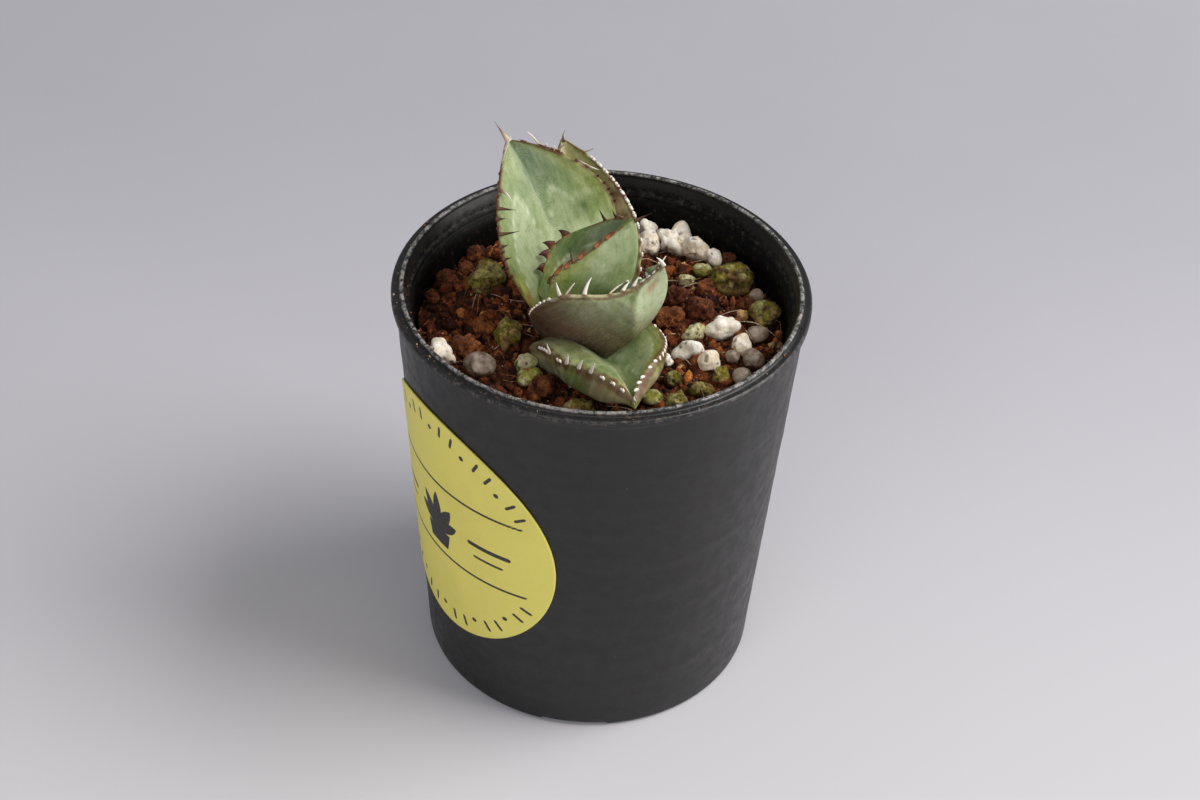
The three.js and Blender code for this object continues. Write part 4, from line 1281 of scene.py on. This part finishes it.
def grain_tint(kind, points, directions, lumps, pits, seed):
    """A grain's colour: two main colours in clouds, then growth, crust, dark pits and soil."""
    style = GRAINS[kind]
    own = 0.7 * (np.modf(seed * 0.618)[0] - 0.5)
    tint = blend(*style["colours"], smooth(-0.4, 0.5, fractal(points, 1.8, 4, seed + 2) + own))
    lifted = directions[:, 2] * style.get("grows_on", 0.35) + fractal(points, 1.5, 4, seed + 20)
    growth = smooth(0.35, -0.05, style["grown"] * 0.8 - 0.25 - lifted)
    tint = blend(tint, style["growth"], style["grown"] * growth)
    if "crust" in style:
        crusted = smooth(0.15, 0.4, fractal(points, 1.6, 4, seed + 33) + 0.3 * directions[:, 2])
        tint = blend(tint, style["crust"], 0.3 * crusted)
    tint = blend(tint, SOOT, 0.7 * pits * (style["pits"] > 0))
    buried = smooth(SOIL_TOP + 0.6, SOIL_TOP - 0.5, points[:, 2] + 0.6 * lumps)
    return blend(tint, SOIL_STAIN, 0.8 * buried)


def make_grain(node, sphere, material):
    """One loose grain: its CAD solid's outline, softened, with lumps, pits and growth."""
    directions, faces = sphere
    kind = kind_of(node)
    style = GRAINS[kind]
    seed = sum(ord(letter) for letter in node)
    middle, reach = cad_reach(node, directions)
    reach = soften(reach, faces, SOFTENING)
    place = directions * reach[:, None] + middle
    lumps = fractal(place, style["lump_size"], 2, seed)
    lobes = np.abs(noise(place, style["lump_size"], seed + 5)) - 0.3
    pits = smooth(0.45, 0.80, noise(place, PIT_SIZE, seed + 9))
    relief = 1 + style["lumps"] * (0.9 * lumps + 0.9 * lobes)
    fine = style["rough"] * fractal(place, PIT_SIZE, 3, seed + 13) * 2
    reach = chipped(directions, reach * relief * style["swell"], style["chips"], seed)
    points = directions * (reach + fine - style["pits"] * pits * 2)[:, None] + middle
    tint = grain_tint(kind, points, directions, lumps, pits, seed)
    add_piece("grain_" + node, points, [faces], material, [node], tint)


# ---- soil --------------------------------------------------------------------------------

EARTH = [rgb(78, 34, 13), rgb(112, 56, 22), rgb(50, 19, 7), rgb(92, 42, 16), rgb(132, 72, 32)]
BRIGHT = [rgb(196, 122, 60), rgb(214, 168, 112), rgb(160, 92, 44)]
DUST = [rgb(178, 146, 112), rgb(92, 56, 34), rgb(202, 190, 174), rgb(60, 40, 28), rgb(150, 104, 66)]
GAP_SHADE_EARTH, SOIL_STAIN, STRAW = rgb(20, 9, 5), rgb(66, 32, 16), rgb(158, 108, 62)
SOIL_RINGS, SOIL_SPOKES = 146, 600
LARGE_LUMPS, SMALL_LUMPS = 120, 9500
LOOSE_CRUMBS, FLECKS, FIBRES, RIM_CRUMBS = 760, 900, 90, 110


def soil_swell(x, y):
    """The soil's slow rise and fall above its CAD top; it stays low at the wall."""
    radius = np.hypot(x, y)
    level = fractal(np.stack([x, y, 0 * x], -1), 11, 2, 15)
    heap = 1.5 * np.exp(-((x + 21) ** 2 + (y - 9) ** 2) / 90)
    return (0.9 * level + heap) * smooth(INNER_TOP_RADIUS, INNER_TOP_RADIUS - 5, radius) - 0.9


def crumb_places(count, limit):
    """Random places on the soil, even over its area."""
    radius = limit * np.sqrt(rng.random(count))
    turn = 2 * np.pi * rng.random(count)
    return radius * np.cos(turn), radius * np.sin(turn)


def earth_colour(bright_share):
    """A random colour of earth, with a share of bright lumps."""
    palette = BRIGHT if rng.random() < bright_share else EARTH
    return palette[rng.integers(len(palette))] * (0.75 + 0.5 * rng.random())


def lump_field(x, y, limit):
    """Height and colour of the soil's top at a disc of points, as a heap of domes whose outlines
    are warped so that none is round. The gaps between the domes are painted near black as
    shade, and each dome is painted darker towards its edge as shade."""
    flat = np.stack([x, y, 0 * x], -1)
    across = x + 0.55 * fractal(flat, 1.3, 3, 71)
    beyond = y + 0.55 * fractal(flat, 1.3, 3, 72)
    z = SOIL_TOP + soil_swell(x, y) - 1.3
    # Painted shade: what no dome covers, the gaps between them, stays near black.
    tint = np.broadcast_to(GAP_SHADE_EARTH, (*z.shape, 3)).copy()
    spacing = limit / SOIL_RINGS
    large, small = 1.1 + 1.1 * rng.random(LARGE_LUMPS), 0.25 + 0.8 * rng.random(SMALL_LUMPS) ** 2.4
    sizes = np.concatenate([large, small])
    for cx, cy, size in zip(*crumb_places(len(sizes), limit), sizes):
        place = math.hypot(cx, cy)
        rows = slice(max(0, int((place - size) / spacing) - 1), int((place + size) / spacing) + 1)
        away = ((across[rows] - cx) ** 2 + (beyond[rows] - cy) ** 2) / size**2
        base = soil_swell(np.array(cx), np.array(cy)) + SOIL_TOP - 1.0 * rng.random() - 0.55 * size
        dome = base + size * np.maximum(1 - away, 0) ** 0.6 * (0.8 + 0.6 * rng.random())
        covers = (away < 1) & (dome > z[rows])
        z[rows][covers] = dome[covers]
        # Painted shade: each dome darker towards its edge.
        shade = 0.4 + 0.6 * np.sqrt(np.maximum(1 - away[covers], 0))
        tint[rows][covers] = earth_colour(0.03) * shade[:, None]
    return z, tint


def make_soil(material):
    """The soil: a body whose top is thousands of small lumps lying on and against each other."""
    low, high = cad_limits("soil")
    limit = (high[0] - low[0]) / 2
    reach = limit * np.linspace(1 / SOIL_RINGS, 1, SOIL_RINGS)
    turn = np.linspace(0, 2 * np.pi, SOIL_SPOKES, endpoint=False)
    x, y = reach[:, None] * np.cos(turn), reach[:, None] * np.sin(turn)
    z, tint = lump_field(x, y, limit)
    points = np.stack([x, y, z], -1)
    points[..., 2] += 0.50 * fractal(points, 1.3, 3, 60) + 0.45 * fractal(points, 0.5, 2, 61)
    tint = tint * (0.45 + 1.35 * smooth(-0.3, 0.5, fractal(points, 0.8, 3, 62)))[..., None]
    points[-1, :, 2] = np.minimum(points[-1, :, 2], SOIL_TOP)
    wall = points[-1] * [1, 1, 0] * (INNER_BOTTOM_RADIUS - 0.5) / limit + [0, 0, low[2]]
    rows = np.concatenate([points, wall[None]])
    corners, faces = closed_skin(rows, points[0].mean(axis=0) * [0, 0, 1], (0, 0, low[2]))
    deep = np.broadcast_to(EARTH[2], (SOIL_SPOKES + 2, 3))
    tints = np.concatenate([tint.reshape(-1, 3), deep])
    add_piece("soil_body", corners, faces, material, ["soil"], tints)


def crumb(sphere, middle, size):
    """A small lump of earth: an uneven ball, flattened and turned at random."""
    directions, faces = sphere
    seed = rng.integers(10000)
    place = directions + middle
    relief = 1 + 0.55 * noise(place, 0.8, seed) + 0.25 * noise(place, 0.35, seed)
    turn = np.array(Euler(rng.random(3) * 6.28).to_matrix())
    shape = directions * relief[:, None] * [1, 0.55 + 0.45 * rng.random(), 0.5 + 0.4 * rng.random()]
    return shape @ turn.T * size + middle, faces


def make_crumbs(material):
    """Loose crumbs and pale flecks of grit on top of the soil."""
    heap, sphere, fleck = Heap(), ball(2), ball(1)
    for x, y in zip(*crumb_places(LOOSE_CRUMBS, INNER_TOP_RADIUS - 1.6)):
        size = 0.35 + 1.0 * rng.random() ** 2.5
        middle = np.array([x, y, SOIL_TOP + soil_swell(x, y) + 0.35 * size - 0.2])
        points, faces = crumb(sphere, middle, size)
        heap.add(points, [faces], earth_colour(0.10))
    for x, y in zip(*crumb_places(FLECKS, INNER_TOP_RADIUS - 1.6)):
        size = 0.08 + 0.16 * rng.random() ** 2
        middle = np.array([x, y, SOIL_TOP + soil_swell(x, y) + 0.1 + 0.3 * rng.random()])
        points, faces = crumb(fleck, middle, size)
        heap.add(points, [faces], DUST[rng.integers(len(DUST))])
    heap.piece("soil_crumbs", material)


def make_fibres(material):
    """Fine root hairs and straw that lie across the soil."""
    heap, share = Heap(), np.linspace(0, 1, 14)
    for x, y in zip(*crumb_places(FIBRES, INNER_TOP_RADIUS - 3)):
        length = 2.5 + 8 * rng.random() ** 2
        arch = 0.4 + 2.2 * rng.random() ** 3
        heading = 2 * np.pi * rng.random()
        bend = rng.normal(0, 1.2)
        angle = heading + bend * share
        path = np.stack([np.cos(angle), np.sin(angle), 0.25 * np.sin(share * 5 + heading)], -1)
        path = np.cumsum(path, axis=0) * length / len(share) + [x, y, 0]
        radius = np.hypot(path[:, 0], path[:, 1])
        path[:, :2] *= np.minimum(1, (INNER_TOP_RADIUS - 1) / radius)[:, None]
        path[:, 2] += SOIL_TOP + soil_swell(path[:, 0], path[:, 1]) + 0.3 + arch * np.sin(np.pi * share)
        points, faces = tube(path, np.full(len(share), 0.04 + 0.05 * rng.random()), sides=5)
        heap.add(points, faces, BONE if rng.random() < 0.4 else STRAW)
    heap.piece("soil_fibres", material)


def make_rim_dirt(material):
    """Crumbs and dust grains caught on the rim, most of them at the front left."""
    heap, sphere = Heap(), ball(1)
    for _ in range(RIM_CRUMBS):
        heading = np.radians(rng.normal(235, 55))
        size = 0.09 + 0.28 * rng.random() ** 4
        radius = RIDGE_RADIUS + RIDGE_WIDTH + 0.25 + 0.7 * rng.random()
        level = POT_HEIGHT - LIP_DROP
        if rng.random() < 0.4:
            radius, level = RIDGE_RADIUS - 0.35 - 0.3 * rng.random(), POT_HEIGHT - 1.3
        middle = np.array([radius * math.cos(heading), radius * math.sin(heading), level + 0.4 * size])
        points, faces = crumb(sphere, middle, size)
        heap.add(points, [faces], DUST[rng.integers(len(DUST))])
    heap.piece("rim_dirt", material)


# ---- camera, floor and light -------------------------------------------------------------


# The camera's place is in millimetres and its angles in degrees.
CAMERA = {"place": (0.56, -296.11, 302.06), "tilt": 50.13, "roll": 2.63, "lens": 62.1, "sensor": 36}
FLOOR_REACH = 4.0                   # metres
SKY, SKY_STRENGTH = (0.82, 0.82, 0.86, 1), 0.40
LIT_POINT = (0, 0, 0.06)            # metres
# Soft lamps: place and size in metres, power and colour.
LAMPS = {
    "key": ((1.00, 0.0, 1.20), (1.0, 1.0), 22, (1, 0.98, 0.95)),
    "side": ((1.30, -0.20, 0.30), (0.7, 0.5), 7, (1, 0.98, 0.96)),
    "front": ((-0.45, -1.20, 1.00), (1.0, 0.8), 6, (1, 1, 1)),
}


def make_camera():
    """The camera, in front of the pot and looking down on it."""
    camera = new_object("camera", bpy.data.cameras.new("camera"))
    camera.data.lens = CAMERA["lens"]
    camera.data.sensor_width = CAMERA["sensor"]
    place = Matrix.Translation(Vector(CAMERA["place"]) * MM)
    tilt, roll = (math.radians(CAMERA[key]) for key in ("tilt", "roll"))
    camera.matrix_world = place @ Matrix.Rotation(tilt, 4, "X") @ Matrix.Rotation(roll, 4, "Z")
    bpy.context.scene.camera = camera


def make_floor():
    """A plain pale floor that runs far enough for every view, with painted light making it lighter in
    front.
    """
    finish = Finish("floor_paper", roughness=0.6, specular=0.2)
    cloud = finish.noise(60, 3)
    paper = finish.mix(cloud, *FLOOR)
    split = finish.tree.nodes.new("ShaderNodeSeparateXYZ")
    finish.put(finish.place, split.inputs["Vector"])
    # Painted light: the floor's colour grows lighter towards the front.
    nearer = finish.span(split.outputs["Y"], 0.20, -0.12)
    finish.set(Base_Color=finish.mix(nearer, paper, LIT_NEAR_FLOOR))
    finish.bump(finish.noise(0.6, 3), 0.01)
    mesh = bpy.data.meshes.new("floor")
    corners = [(x * FLOOR_REACH, y * FLOOR_REACH, 0) for x, y in ((-1, -1), (1, -1), (1, 1), (-1, 1))]
    mesh.from_pydata(corners, [], [(0, 1, 2, 3)])
    mesh.materials.append(finish.material)
    new_object("floor", mesh)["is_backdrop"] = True


def make_lamp(name, place, size, power, colour):
    """A soft rectangular lamp, turned to the object."""
    light = bpy.data.lights.new(name, "AREA")
    light.shape = "RECTANGLE"
    light.size, light.size_y = size
    light.energy = power
    light.color = colour
    lamp = new_object(name, light)
    lamp.location = place
    lamp.rotation_euler = (Vector(LIT_POINT) - Vector(place)).to_track_quat("-Z", "Y").to_euler()


def make_light():
    """An even pale sky and the soft lamps."""
    world = bpy.data.worlds.new("studio")
    bpy.context.scene.world = world
    world.use_nodes = True
    sky = world.node_tree.nodes["Background"]
    sky.inputs["Color"].default_value = SKY
    sky.inputs["Strength"].default_value = SKY_STRENGTH
    for name, settings in LAMPS.items():
        make_lamp(name, *settings)


# ---- assembly ----------------------------------------------------------------------------

bpy.context.scene.view_settings.view_transform = "Standard"
make_camera()
make_floor()
make_light()

make_pot(plastic_finish())
make_label(paper_finish())

leaf_flesh, leaf_horn = flesh_finish(), horn_finish()
for leaf_name in LEAVES:
    make_leaf(leaf_name, leaf_flesh, leaf_horn)
make_crown(earth_finish("crown_skin", 0.8, rgb(90, 70, 40), 0.75, 0.05))

grain_finishes = {
    "pumice": earth_finish("pumice", 0.5, rgb(138, 92, 56), 0.85, 0.10, (0.78, 1.12)),
    "akadama": earth_finish("akadama", 0.5, rgb(206, 142, 84), 0.95, 0.22, (0.30, 1.7)),
    "zeolite": earth_finish("zeolite", 0.7, rgb(226, 216, 186), 0.8, 0.12, (0.55, 1.35)),
    "river_stone": quartz_finish(),
    "mossy_stone": earth_finish("mossy_stone", 0.9, rgb(150, 142, 74), 0.92, 0.20, (0.25, 1.7)),
}
grain_ball = ball(GRAIN_LEVEL)
for node_name in sorted(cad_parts):
    if kind_of(node_name) in GRAINS:
        make_grain(node_name, grain_ball, grain_finishes[kind_of(node_name)])

earth = earth_finish("soil_earth", 0.4, rgb(164, 104, 60), 0.9, 0.16, (0.30, 1.5))
make_soil(earth)
make_crumbs(earth)
make_fibres(earth)
make_rim_dirt(earth)

boxes = {"cad": cad_box, "visual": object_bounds()}
{key: [list(corner) for corner in box] for key, box in boxes.items()}
